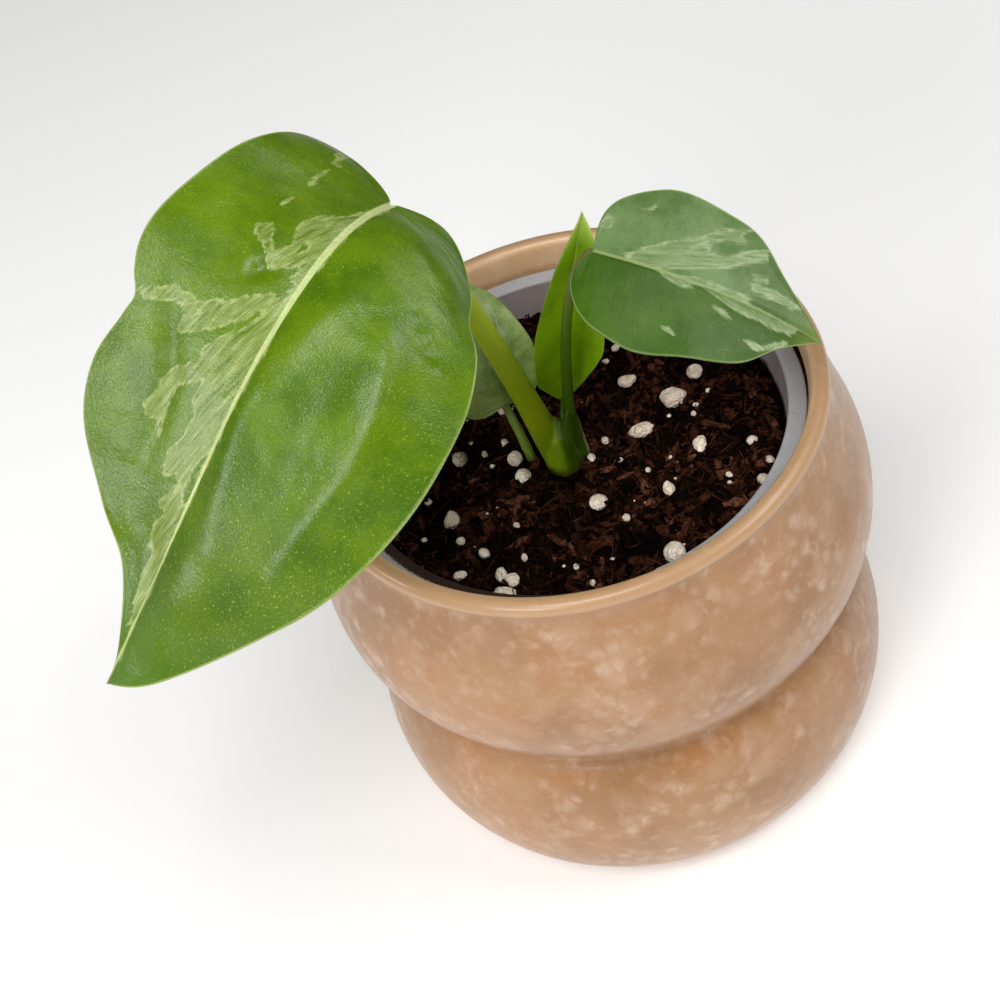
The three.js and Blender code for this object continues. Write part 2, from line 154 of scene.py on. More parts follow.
class Nodes:
    """Builds one material's node tree."""

    def __init__(self, name, roughness, **surface):
        self.material = bpy.data.materials.new(name)
        self.material.use_nodes = True
        self.tree = self.material.node_tree
        self.shader = self.tree.nodes["Principled BSDF"]
        self.shader.inputs["Roughness"].default_value = roughness
        for key, value in surface.items():
            self.shader.inputs[key.replace("_", " ")].default_value = value

    def node(self, kind, inputs=None, **settings):
        made = self.tree.nodes.new("ShaderNode" + kind)
        for key, value in settings.items():
            setattr(made, key, value)
        for key, value in (inputs or {}).items():
            self.put(value, made.inputs[key])
        return made

    def put(self, value, socket):
        if isinstance(value, bpy.types.NodeSocket):
            self.tree.links.new(value, socket)
        else:
            socket.default_value = value

    def attribute(self, name, output="Fac"):
        return self.node("Attribute", attribute_name=name).outputs[output]

    def place(self, stretch=(1, 1, 1)):
        """The piece's own coordinates in millimetres, stretched along its axes."""
        where = self.node("TexCoord").outputs["Object"]
        scale = tuple(1000 * s for s in stretch)
        return self.node("Mapping", {"Vector": where, "Scale": scale}).outputs["Vector"]

    def noise(self, vector, scale, detail=3.0, roughness=0.55):
        return self.node("TexNoise", {
            "Vector": vector, "Scale": scale, "Detail": detail, "Roughness": roughness,
        }).outputs["Fac"]

    def stretch(self, vector, scale):
        return self.node("Mapping", {"Vector": vector, "Scale": scale}).outputs["Vector"]

    def drift(self, vector, scale, reach):
        """The same coordinates, pushed about by a noise that spans reach."""
        push = self.node("TexNoise", {"Vector": vector, "Scale": scale, "Detail": 2.0})
        made = self.node("VectorMath", operation="MULTIPLY_ADD")
        for value, socket in zip((push.outputs["Color"], (reach,) * 3, vector), made.inputs):
            self.put(value, socket)
        return made.outputs[0]

    def spots(self, vector, scale, low, high, soft, share, flat=False):
        """Soft round dots from 0 to 1, one in a share of the cells of a jumbled grid."""
        kind = "2D" if flat else "3D"
        made = self.node("TexVoronoi", {"Vector": vector, "Scale": scale}, voronoi_dimensions=kind)
        chance = self.node("SeparateColor", {"Color": made.outputs["Color"]})
        radius = self.math("MULTIPLY_ADD", chance.outputs["Red"], high - low, low)
        inside = self.math("SUBTRACT", radius, made.outputs["Distance"])
        chosen = self.math("LESS_THAN", chance.outputs["Green"], share)
        return self.times(self.ramp(inside, -0.5 * soft, 0.5 * soft), chosen)

    def cells(self, vector, scale):
        """Distance from the nearest of the points strewn in a jumbled grid."""
        return self.node("TexVoronoi", {"Vector": vector, "Scale": scale}).outputs["Distance"]

    def split(self, vector):
        return self.node("SeparateXYZ", {"Vector": vector}).outputs

    def join(self, x, y, z):
        return self.node("CombineXYZ", {"X": x, "Y": y, "Z": z}).outputs[0]

    def math(self, operation, a, b=0.0, c=0.0):
        made = self.node("Math", operation=operation)
        for value, socket in zip((a, b, c), made.inputs):
            self.put(value, socket)
        return made.outputs[0]

    def times(self, a, b):
        return self.math("MULTIPLY", a, b)

    def pushed(self, value, noise, reach):
        """value, moved up or down by a noise around 0.5 that spans reach."""
        return self.math("MULTIPLY_ADD", self.math("SUBTRACT", noise, 0.5), reach, value)

    def ramp(self, value, low, high, to_low=0.0, to_high=1.0):
        """value taken from low..high to to_low..to_high, smoothly and no further."""
        return self.node("MapRange", {
            "Value": value, "From Min": low, "From Max": high,
            "To Min": to_low, "To Max": to_high,
        }, interpolation_type="SMOOTHSTEP").outputs["Result"]

    def mix(self, share, a, b):
        """Two colours mixed. Each is a socket, or a colour given from 0 to 255."""
        made = self.node("Mix", data_type="RGBA")
        self.put(share, made.inputs[0])
        for value, socket in ((a, made.inputs[6]), (b, made.inputs[7])):
            self.put(value if isinstance(value, bpy.types.NodeSocket) else colour(value), socket)
        return made.outputs[2]

    def finish(self, base, bump=None, bump_depth=0.1):
        """The material with its colour, and a bump of bump_depth millimetres."""
        self.put(base, self.shader.inputs["Base Color"])
        if bump is not None:
            made = self.node("Bump", {
                "Height": bump, "Strength": 1.0, "Distance": bump_depth * MM,
            })
            self.put(made.outputs["Normal"], self.shader.inputs["Normal"])
        return self.material


def colour(rgb):
    """A colour given from 0 to 255, as seen on a screen, in the shader's linear values."""
    shares = [c / 255 for c in rgb]
    linear = [s / 12.92 if s <= 0.04045 else ((s + 0.055) / 1.055) ** 2.4 for s in shares]
    return (*linear, 1.0)


# Ceramic pot. The profile's points are [radius, height], and LOWER and UPPER are the
# bulges: [centre's radius, reach out from it, level, half height].

POT_HEIGHT = 103.2
POT_SEGMENTS = 192
POT_BASE = 46
POT_RECESS = 0.9
POT_FLOOR = 6
POT_FLOOR_EDGE = 39
POT_WALL = 4.4
LOWER = (43.9, 14.9, 24.6, 25.1)
UPPER = (50.9, 10.1, 71.3, 20)
CREASE = (50.2, 50.2)
SHOULDER = (56.7, 90.9)
NECK = (54.4, 98.2)
LIP = (53, 2)
LIP_PALES_OVER = (98.8, 100.8)
CORNER_STEPS = 6
LINER_RIM = 49.8
LINER_PLAY = 0.5


def bulge(centre, reach, z, rise, start, end, count):
    """[radius, height] points of a bulge, between two angles from its widest level."""
    angles = np.radians(np.linspace(start, end, count))
    return np.stack([centre + reach * np.cos(angles), z + rise * np.sin(angles)], axis=1)


def rounded(points, radius):
    """A profile of [radius, height] points with its corners rounded."""
    p = np.asarray(points, float)
    out = [p[0]]
    for before, corner, after in zip(p, p[1:], p[2:]):
        a, b = before - corner, after - corner
        reach = min(radius, 0.45 * np.linalg.norm(a), 0.45 * np.linalg.norm(b))
        start, end = corner + unit(a) * reach, corner + unit(b) * reach
        for t in np.linspace(0, 1, CORNER_STEPS):
            out.append((1 - t) ** 2 * start + 2 * t * (1 - t) * corner + t * t * end)
    out.append(p[-1])
    return np.array(out)


def lathe(profile, segments):
    """A closed turned solid from a profile that starts and ends on the axis."""
    radius, height = np.asarray(profile)[1:-1].T
    body = np.concatenate([
        radius[:, None, None] * circle(segments),
        np.broadcast_to(height[:, None, None], (len(radius), segments, 1)),
    ], axis=2).reshape(-1, 3)
    ends = [[0, 0, profile[0][1]], [0, 0, profile[-1][1]]]
    return np.vstack([body, ends]), tube_faces(len(radius), segments)


def pot_profile():
    """[radius, height] points of the pot, and how far round to the inside each one is."""
    centre, roll = LIP
    outside = np.vstack([
        [[0, POT_RECESS], [POT_BASE - 5, POT_RECESS], [POT_BASE - 4, 0], [POT_BASE, 0]],
        bulge(*LOWER, -68, 58, 34),
        [CREASE],
        bulge(*UPPER, -74, 34, 30),
    ])
    lip = bulge(centre, roll, POT_HEIGHT - roll, roll, -12, 180, 18)
    run = smooth_outline([outside[-3], outside[-1], SHOULDER, NECK, lip[0], lip[3]], 48)
    neck = run[(run[:, 1] > outside[-1, 1] + 0.2) & (run[:, 1] < lip[0, 1] - 0.1)]
    inside = np.vstack([
        [[LINER_RIM + LINER_PLAY, NECK[1]]],
        bulge(*np.subtract(UPPER, (0, POT_WALL, 0, 0)), 50, -50, 12),
        [[CREASE[0] - POT_WALL, CREASE[1]]],
        bulge(*np.subtract(LOWER, (0, POT_WALL, 0, POT_WALL)), 40, -40, 12),
        [[POT_FLOOR_EDGE, POT_FLOOR], [0, POT_FLOOR]],
    ])
    over = smoothstep(0.55, 0.85, np.linspace(0, 1, len(lip)))
    inner = np.concatenate([np.zeros(len(outside) + len(neck)), over, np.ones(len(inside))])
    return np.vstack([outside, neck, lip, inside]), inner


def ceramic():
    """A mottled tan glaze with painted shade above the crease, paler at the lip and inside."""
    m = Nodes("speckled glaze", 0.42, Coat_Weight=0.35, Coat_Roughness=0.16)
    place = m.place()
    adrift = m.drift(m.drift(place, 0.16, 3.5), 0.6, 0.7)
    cloudy = m.noise(adrift, 0.045, 3)
    tan = m.mix(m.ramp(cloudy, 0.36, 0.64), (153, 109, 66), (170, 126, 83))
    warm = m.mix(m.ramp(m.noise(adrift, 0.07, 4, 0.6), 0.5, 0.7, 0, 0.6), tan, (170, 112, 63))
    crowd = m.ramp(m.noise(place, 0.055, 2), 0.38, 0.62, 0.25, 1)
    broad = m.spots(adrift, 0.13, 0.14, 0.5, 0.75, 0.6)
    middling = m.spots(adrift, 0.25, 0.12, 0.46, 0.6, 0.62)
    small = m.spots(adrift, 0.55, 0.12, 0.44, 0.5, 0.42)
    mottle = m.ramp(m.noise(m.drift(place, 0.6, 0.8), 0.3, 3, 0.5), 0.5, 0.76, 0, 0.7)
    hazy = m.mix(m.times(mottle, crowd), warm, (198, 168, 138))
    haze = m.mix(m.times(broad, m.times(crowd, 0.4)), hazy, (204, 170, 143))
    dotted = m.mix(m.times(middling, m.times(crowd, 0.42)), haze, (210, 182, 160))
    flecked = m.mix(m.times(small, 0.12), dotted, (206, 178, 158))
    dust = m.ramp(m.noise(adrift, 1.3, 4, 0.7), 0.5, 0.75, 0, 0.25)
    dusky = m.mix(dust, flecked, (148, 98, 62))
    level = m.split(place)["Z"]
    # Painted shade: the glaze is darkened on the upper bulge's underside, down to the crease.
    above = m.ramp(level, CREASE[1] + 1.5, CREASE[1] + 18, 0.8, 0)
    painted_crease_shade = m.times(above, m.ramp(level, CREASE[1] - 2.5, CREASE[1] - 0.5))
    shaded = m.mix(painted_crease_shade, dusky, (142, 90, 52))
    outer = m.mix(m.ramp(level, *LIP_PALES_OVER, 0, 0.7), shaded, (198, 158, 117))
    pale = m.ramp(m.noise(adrift, 0.2, 4), 0.35, 0.65)
    inner = m.mix(pale, (240, 194, 146), (246, 206, 164))
    both = m.mix(m.attribute("inner"), outer, inner)
    return m.finish(both, bump=m.noise(place, 0.45, 4), bump_depth=0.16)


# Nursery pot

LINER_FOOT_Z = POT_FLOOR + 0.3
LINER_TOP = 96.3
LINER_INNER = 45.9
LINER_FOOT = 37
LINER_FOOT_SLOPE = 2
LINER_WALL = 1
LINER_RIM_WALL = 1.3
LINER_SKIRT = 4.5
LINER_SEGMENTS = 160
SOIL_LEVEL = 88.9


def liner_profile():
    shoulder, skirt = LINER_TOP - LINER_RIM_WALL, LINER_TOP - LINER_SKIRT
    floor, heel = LINER_FOOT_Z + LINER_WALL, LINER_FOOT - LINER_FOOT_SLOPE
    corners = [
        [0, LINER_FOOT_Z],
        [heel, LINER_FOOT_Z],
        [LINER_FOOT, LINER_FOOT_Z + LINER_FOOT_SLOPE],
        [LINER_INNER + LINER_WALL, shoulder],
        [LINER_RIM - LINER_RIM_WALL, shoulder],
        [LINER_RIM - LINER_RIM_WALL, skirt],
        [LINER_RIM, skirt],
        [LINER_RIM, LINER_TOP],
        [LINER_INNER, LINER_TOP],
        [LINER_FOOT - LINER_WALL, floor + LINER_FOOT_SLOPE],
        [heel - LINER_WALL, floor],
        [0, floor],
    ]
    return rounded(corners, 0.6)


def nursery_plastic():
    """Worn grey plastic, dusty, with soil where the soiled attribute is high."""
    m = Nodes("grey nursery plastic", 0.45)
    place = m.place()
    worn = m.mix(m.noise(place, 0.12, 4), (184, 184, 188), (158, 157, 160))
    wall = m.mix(m.noise(place, 0.3, 4), (160, 142, 140), (132, 114, 112))
    rim = m.mix(m.attribute("inner"), worn, wall)
    dusty = m.mix(m.ramp(m.noise(place, 0.8, 5, 0.7), 0.55, 0.75, 0, 0.5), rim, (84, 62, 52))
    grime = m.math("MULTIPLY_ADD", m.noise(place, 1.6, 5, 0.75), 1.2, m.attribute("soiled"))
    soiled = m.mix(m.ramp(grime, 1.0, 1.25), dusty, (44, 24, 16))
    return m.finish(soiled, bump=m.noise(place, 2.5, 2), bump_depth=0.05)


def build_pots():
    """The glazed pot, and the liner with soil on its inside and on its rim at the front left."""
    profile, inner = pot_profile()
    points, faces = lathe(profile, POT_SEGMENTS)
    inner = np.append(np.repeat(inner[1:-1], POT_SEGMENTS), (0, 1))
    piece("ceramic_pot", points, faces, ceramic(), "ceramic", "outer_pot",
          attributes={"inner": inner})
    points, faces = lathe(liner_profile(), LINER_SEGMENTS)
    radius, level = np.hypot(points[:, 0], points[:, 1]), points[:, 2]
    inner = 1 - smoothstep(LINER_INNER - 0.3, LINER_INNER + 0.4, radius)
    soiled = inner * (1 - smoothstep(SOIL_LEVEL + 1, SOIL_LEVEL + 5, level))
    front_left = (points[:, 0] < 8) & (points[:, 1] < -4) & (level > LINER_TOP - 2)
    spill = 1.5 * (1 - smoothstep(LINER_INNER, LINER_RIM - 0.5, radius))
    soiled = np.where(front_left, spill, soiled)
    piece("plastic_pot", points, faces, nursery_plastic(), "nursery_plastic", "nursery_pot",
          attributes={"inner": inner, "soiled": soiled})


# Soil: a rough bed, bark crumbs, chips and fibres, and perlite

SOIL_RELIEF = 1.3
SOIL_EDGE = 44.6
SOIL_SINK = 0.9
STEM_CENTRE = (-2.7, -3.2)
STEM_CLEAR = 4.6
SMALL_STALK_CENTRE = (-9.6, 0.1)
SMALL_STALK_CLEAR = 1.4
SOIL_SEED = 7
CRUMBS = 4200
CHIPS = 3300
FIBRES = 800


def soil_height(x, y):
    """The soil's level at a place, without its finer lumps."""
    coarse = np.sin(0.16 * x + 1.7) * np.cos(0.14 * y - 0.6)
    fine = np.sin(0.34 * x - 0.2 * y) * np.cos(0.3 * y + 0.17 * x + 1.1)
    return SOIL_LEVEL + SOIL_RELIEF * (0.6 * coarse + 0.5 * fine)


def soil_bed():
    """The lumpy top, from the middle out, and the plain sides and underside."""
    rings, segments = 70, 180
    ring = circle(segments)
    x, y = (np.linspace(0.4, SOIL_EDGE, rings)[:, None] * ring.T[:, None]).reshape(2, -1)
    lumps = fractal(np.column_stack([x, y, 0 * x]), 0.45, 4) * 1.1 - SOIL_SINK
    top = np.column_stack([x, y, soil_height(x, y) + lumps])
    foot = LINER_FOOT_Z + LINER_WALL + 0.3
    wall = [(44.4, 80.0), (36.2, foot + 2), (34.0, foot)]
    sides = [np.column_stack([r * ring, np.full(segments, z)]) for r, z in wall]
    ends = [[0, 0, soil_height(0, 0) - SOIL_SINK], [0, 0, foot]]
    faces = tube_faces(rings + len(wall), segments)
    return np.vstack([top, *sides, ends]), [tuple(reversed(f)) for f in faces]


def turned_at_random(rng, tilt):
    """A rotation that keeps a lump's long side roughly level."""
    spin, lean, roll = rng.uniform(0, 2 * np.pi), rng.normal(0, tilt), rng.normal(0, tilt)
    return turned(spin, lean, roll)


def turned(spin, lean, roll):
    """A rotation about X, then Y, then Z."""
    about_z, about_y = Matrix.Rotation(spin, 3, "Z"), Matrix.Rotation(lean, 3, "Y")
    return np.array(about_z @ about_y @ Matrix.Rotation(roll, 3, "X"))


def ico(subdivisions):
    """Vertices and triangles of a unit ball."""
    mesh = bpy.data.meshes.new("ball")
    made = bmesh.new()
    bmesh.ops.create_icosphere(made, subdivisions=subdivisions, radius=1.0)
    made.to_mesh(mesh)
    made.free()
    points = np.array([v.co[:] for v in mesh.vertices])
    faces = np.array([p.vertices[:] for p in mesh.polygons])
    bpy.data.meshes.remove(mesh)
    return points, faces


def soil_spot(rng, margin):
    """A random place on the soil, off the stem and inside the nursery pot."""
    while True:
        turn, distance = rng.uniform(0, 2 * np.pi), SOIL_EDGE * math.sqrt(rng.uniform())
        x, y = distance * math.cos(turn), distance * math.sin(turn)
        stem = math.hypot((x - STEM_CENTRE[0]) / 1.1, y - STEM_CENTRE[1]) - STEM_CLEAR
        stalk = math.dist((x, y), SMALL_STALK_CENTRE) - SMALL_STALK_CLEAR
        if distance < SOIL_EDGE - margin and min(stem, stalk) > 0.5 * margin:
            return x, y


def gather(parts):
    """One list of vertices, faces and tones from many lumps."""
    vertices, faces, tones, start = [], [], [], 0
    for points, polygons, tone in parts:
        vertices.append(points)
        faces.extend((polygons + start).tolist())
        tones.append(np.full(len(points), tone))
        start += len(points)
    return np.vstack(vertices), faces, np.concatenate(tones)


def richness(rng, x, y):
    """A random tone, lighter in some parts of the bed than in others."""
    area = noise.noise((0.11 * x, 0.11 * y, 5.0))
    return min(max(rng.random() ** 1.4 * (0.85 + 1.3 * area), 0), 1)


def crumbs(rng, count):
    """Small rough lumps, most of them near the smallest size."""
    ball, triangles = ico(1)
    for _ in range(count):
        length = 0.4 + 1.5 * rng.random() ** 2.4
        size = length * np.array([1, rng.uniform(0.5, 0.9), rng.uniform(0.35, 0.7)])
        rough = 1 + rng.normal(0, 0.22, (len(ball), 1))
        x, y = soil_spot(rng, length)
        lift = soil_height(x, y) + rng.uniform(-1.1, 0.5)
        points = (ball * rough * size) @ turned_at_random(rng, 0.5).T + [x, y, lift]
        yield points, triangles, richness(rng, x, y)


# A chip's rings, from end to end: their places, widths and corners
CHIP_ALONG = np.array([-1, -0.55, 0.1, 0.6, 1])
CHIP_WIDTH = np.array([0.6, 1, 0.85, 1, 0.5])
CHIP_CORNER = np.array([[-1, -1], [1, -1], [1, 1], [-1, 1]])


def bar_triangles(rings):
    """Triangles over a closed bar with four corners to each ring."""
    count = 4 * rings
    quads = grid_faces(rings, 4, closed=True) + [(3, 2, 1, 0), tuple(range(count - 4, count))]
    return np.array([t for a, b, c, d in quads for t in ((a, b, c), (a, c, d))])


def chip_shape(rng, half):
    """A flat, broken sliver, from its half length, width and thickness."""
    bow = rng.normal(0, 0.2)
    width = CHIP_WIDTH * rng.uniform(0.45, 1.3, 5)
    return half * np.array([
        [a + rng.normal(0, 0.12), w * c[0] + bow * (1 - a * a), w * c[1] + rng.normal(0, 0.2)]
        for a, w in zip(CHIP_ALONG, width) for c in CHIP_CORNER
    ])


def chips(rng, count):
    """Slivers of bark, most of them small."""
    triangles = bar_triangles(len(CHIP_ALONG))
    for _ in range(count):
        length = 0.5 + 2.7 * rng.random() ** 2.6
        slim = rng.uniform(0.12, 0.42)
        half = np.array([length, max(length * slim, 0.16), rng.uniform(0.12, 0.34)])
        x, y = soil_spot(rng, length)
        lift = soil_height(x, y) + rng.uniform(-0.8, 0.9)
        points = chip_shape(rng, half) @ turned_at_random(rng, 0.5).T + [x, y, lift]
        yield points, triangles, richness(rng, x, y)


# Larger flakes of bark: [x, y, half length, half width, turn in degrees, tone]
FLAKES = [
    (-15, -11.9, 2.8, 0.7, 5, 0.96), (-22.6, -18.2, 3, 1.1, 55, 0.7),
    (-0.8, -28.8, 2.9, 1.8, 10, 0.8), (6.1, -36.8, 2.6, 1, -20, 0.6),
    (21.2, -26, 3.4, 0.9, 30, 0.75), (29.5, -6.5, 3.2, 0.8, -35, 0.85),
    (20, 9.5, 2.8, 0.9, 70, 0.8), (9.5, -13, 3.2, 0.7, 15, 0.93), (-31, -2.5, 2.6, 0.9, 80, 0.65),
    (-8.5, -25.5, 3, 0.8, -50, 0.9), (27, -19, 2.6, 0.7, 85, 0.9), (11, 5, 2.4, 0.9, -15, 0.7),
    (16.5, -31.5, 2.8, 0.8, 50, 0.85), (-17, -24, 2.4, 0.7, 20, 0.9), (33, 5.5, 2.8, 0.8, 10, 0.8),
]


def flakes(rng):
    """The larger flakes, lying where the table puts them."""
    triangles = bar_triangles(len(CHIP_ALONG))
    for x, y, length, width, spin, tone in FLAKES:
        turn = turned(math.radians(spin), rng.normal(0, 0.12), rng.normal(0, 0.3))
        points = chip_shape(rng, np.array([length, width, 0.4])) @ turn.T
        yield points + [x, y, soil_height(x, y) + 0.7], triangles, tone


def fibres(rng, count):
    """Thin bowed strands with pointed ends."""
    ring = np.array([[1, 0], [0, 1], [-1, 0], [0, -1]])
    triangles = bar_triangles(7)
    for _ in range(count):
        length, thick = rng.uniform(2, 7.5), rng.uniform(0.06, 0.17)
        s = np.linspace(-0.5, 0.5, 7)
        bow = 0.25 - s * s
        bend, rise = rng.normal(0, 1.8), rng.uniform(0.1, 0.9)
        centre = np.column_stack([s * length, bend * bow * 2, rise * bow * 2])
        taper = np.sqrt(1.02 - (2 * s) ** 2)[:, None, None]
        offset = ring[None] * thick * taper
        points = centre[:, None, :] + np.concatenate([np.zeros((7, 4, 1)), offset], axis=2)
        x, y = soil_spot(rng, 0.5 * length)
        turn = turned_at_random(rng, 0.25)
        lift = soil_height(x, y) + rng.uniform(-0.2, 1.0)
        yield points.reshape(-1, 3) @ turn.T + [x, y, lift], triangles, 0.4 + 0.55 * rng.random()


# Perlite granules that show: [x, y, half width, half depth]
PERLITE = [
    (23.1, 4.5, 3.1, 2.5), (14.5, -2.4, 2.7, 1.6), (25, -11, 1.5, 2.4), (29.2, 11, 1.8, 1.9),
    (14.7, 13.5, 2, 1.6), (14.6, 24.3, 1.1, 1), (16, -20.8, 1.2, 1.8), (13.1, -37.2, 2.3, 2.4),
    (13.1, -14, 0.6, 0.7), (6, -24.6, 0.8, 1), (6.4, -1.9, 0.8, 1), (2.6, -6, 0.8, 1.4),
    (8.2, -7.8, 0.6, 0.7), (26, -1.1, 0.6, 0.7), (35.6, -12.5, 1.2, 1.1), (37.7, -19.4, 0.9, 1),
    (35, -24, 1.4, 1.4), (-13.1, 0.1, 1.6, 1.7), (-12.3, -5.7, 1.8, 1.9), (-13.1, 15, 1.1, 1),
    (-19.5, 5.2, 0.9, 1.1), (-14.4, 6.2, 0.9, 1.1), (-24.7, 5.1, 1.7, 1.9),
    (-29, -12.3, 1.7, 2.2), (-16.2, -18.7, 0.8, 1), (-28.2, -18.4, 1, 1.1),
    (-24, -23.7, 1.2, 1.4), (-16.2, -27.5, 0.7, 0.9), (-21.5, -30.2, 1.2, 1.8),
    (-19.6, -32.3, 1.5, 1.6), (-21.6, -35.6, 2.9, 1.8), (-33.2, -5.3, 0.9, 1),
    (-6.5, -34.2, 0.6, 0.7), (-4.1, -39.4, 0.6, 0.7), (1.4, -18.3, 2, 1.9), (-29.8, -28, 1.6, 1),
]
LOOSE_PERLITE = 50


def perlite(rng):
    """The placed granules and some loose ones. Round ones are less dented than long ones."""
    ball, triangles = ico(4)
    lumps = list(PERLITE)
    for _ in range(LOOSE_PERLITE):
        x, y = soil_spot(rng, 2)
        radius = 0.22 + 0.6 * rng.random() ** 2.5
        lumps.append((x, y, radius, radius * rng.uniform(0.7, 1)))
    for x, y, wide, deep in lumps:
        height = 0.8 * min(wide, deep)
        seat = rng.uniform(0, 40, 3)
        round_one = min(wide, deep) > 0.9 * max(wide, deep)
        odd = (0.5 + 0.5 * rng.random()) * (0.4 if round_one else 1)
        pits = np.abs(fractal(ball + seat, 2.2, 2))
        shape = 1 + odd * 0.3 * fractal(ball + seat, 0.9, 2) - odd * 0.14 * pits
        turn = turned(0, rng.normal(0, 0.25), rng.normal(0, 0.25))
        points = (ball * shape[:, None] * [wide, deep, height]) @ turn.T
        yield points + [x, y, soil_height(x, y) + 0.5 * height + 0.5], triangles, rng.random()


def bark():
    """Dark peat to rusty bark, by each lump's tone."""
    m = Nodes("bark and peat mix", 0.85, Specular_IOR_Level=0.05)
    place = m.place()
    tone = m.attribute("tone")
    grain = m.noise(m.place((1, 1, 2)), 1.1, 5, 0.7)
    dark = m.mix(m.ramp(tone, 0.1, 0.85), (18, 6, 2), (92, 50, 33))
    rusty = m.mix(m.ramp(tone, 0.8, 0.99), dark, (132, 84, 60))
    rich = m.mix(m.ramp(grain, 0.4, 0.65), m.mix(0.75, rusty, (10, 4, 3)), rusty)
    return m.finish(rich, bump=m.noise(place, 2.6, 5, 0.75), bump_depth=0.45)


def foam():
    """White granules with pits, dust and stains, darker down in the pits."""
    m = Nodes("perlite", 0.75, Specular_IOR_Level=0.3)
    place = m.place()
    pits = m.cells(m.drift(place, 1.2, 0.5), 1.5)
    chalk = m.mix(m.attribute("tone"), (246, 232, 214), (228, 210, 190))
    grime = m.ramp(m.noise(place, 0.7, 5, 0.7), 0.45, 0.7, 0, 0.7)
    grubby = m.mix(grime, chalk, (170, 144, 122))
    # The colour darkens towards the middle of each pit.
    pit_darkened = m.mix(m.ramp(pits, 0.05, 0.25, 0.5, 0), grubby, (120, 92, 76))
    return m.finish(pit_darkened, bump=pits, bump_depth=0.4)


def build_soil():
    rng = np.random.default_rng(SOIL_SEED)
    skin = bark()
    vertices, faces = soil_bed()
    more, triangles, tones = gather(list(crumbs(rng, CRUMBS)))
    triangles = [tuple(i + len(vertices) for i in t) for t in triangles]
    tone = np.r_[np.full(len(vertices), 0.05), tones]
    piece("potting_mix", np.vstack([vertices, more]), faces + triangles, skin, "soil",
          "potting_soil", smooth=False, attributes={"tone": tone})
    points, triangles, tones = gather([*chips(rng, CHIPS), *flakes(rng), *fibres(rng, FIBRES)])
    piece("bark_chips", points, triangles, skin, "soil", smooth=False, attributes={"tone": tones})
    points, triangles, tones = gather(list(perlite(rng)))
    piece("perlite_granules", points, triangles, foam(), "soil", attributes={"tone": tones})


# Leaves

BLADE_THICKNESS = 0.7
LARGE_LENGTH = 111
VEINLESS_SHARE = 0.22
BASE_EASE = 0.06
JOINS_WITHIN = 0.004

# Cream areas and the green holes in them are outlines of (along the midrib, out from it),
# in millimetres, on the blade's own surface. A positive distance out is to the right.
LARGE_CREAM = [
    [(0, -0.3), (12.6, 1.9), (18.1, 5.2), (23.1, 7.2), (28.4, 5.9), (31.9, 7.8), (28.2, 10.4),
     (26.3, 11.3), (28.6, 13.9), (31.4, 11.6), (34.4, 8.6), (36, 7.3), (32.5, 3.7), (27.6, 0.9),
     (35, 2.1), (36.2, 0.9), (40.8, 1.7), (40.3, 3.7), (44, 8.6), (46.9, 11.5), (49.4, 16.6),
     (49.5, 21.6), (52.3, 26.7), (54.6, 28.6), (55, 26.6), (52.4, 21.7), (50.8, 16.8), (53.2, 18),
     (56.2, 18.1), (56.3, 16.8), (51, 9.2), (49.1, 8.3), (47.5, 5.8), (44.8, 4.7), (42.6, 2.5),
     (48.9, 5.9), (54.1, 9.8), (56.9, 11.5), (57.7, 10.4), (63.4, 15.5), (66.2, 16.5),
     (67.3, 15.6), (71.2, 17.3), (72.7, 16.2), (71.8, 14.5), (74.2, 12.5), (71.3, 12.7),
     (67.6, 13.8), (64.4, 13.1), (61, 7.8), (64.6, 8.1), (68.4, 6.6), (71.4, 7), (74.7, 8.8),
     (78.7, 8.1), (76.5, 4.7), (78.3, 3.4), (81.1, 4.9), (82.8, 6.1), (83.9, 4.1), (86, 5.8),
     (89.4, 4.7), (90.7, 3.6), (95.3, 2.6), (101.1, 0.8), (106.2, 0), (97, -0.3), (80, -0.3),
     (58, -0.4), (30, -0.4)],
    [(2, 13.9), (-4.6, 15.5), (-5.2, 14), (0.7, 12)],
    [(10.8, 12.2), (7.6, 12.8), (3.7, 12.6), (8, 12)],
    [(21.1, 12.6), (18.5, 12.9), (17.1, 12.4), (19.2, 12.2)],
]
LARGE_GREEN = [
    [(19, 4.4), (16.5, 3.8), (16, 2.7), (19.6, 3.4)],
    [(26.9, 5.2), (24.1, 4.1), (27.3, 3.5), (29, 4.3)],
    [(52.9, 17.4), (51.1, 16.2), (49.2, 13), (51.6, 14.5), (53, 16.1)],
    [(71.2, 0.8), (76.2, 0.4), (80.5, 0.6), (78.5, 2.4), (74.3, 2.2)],
]
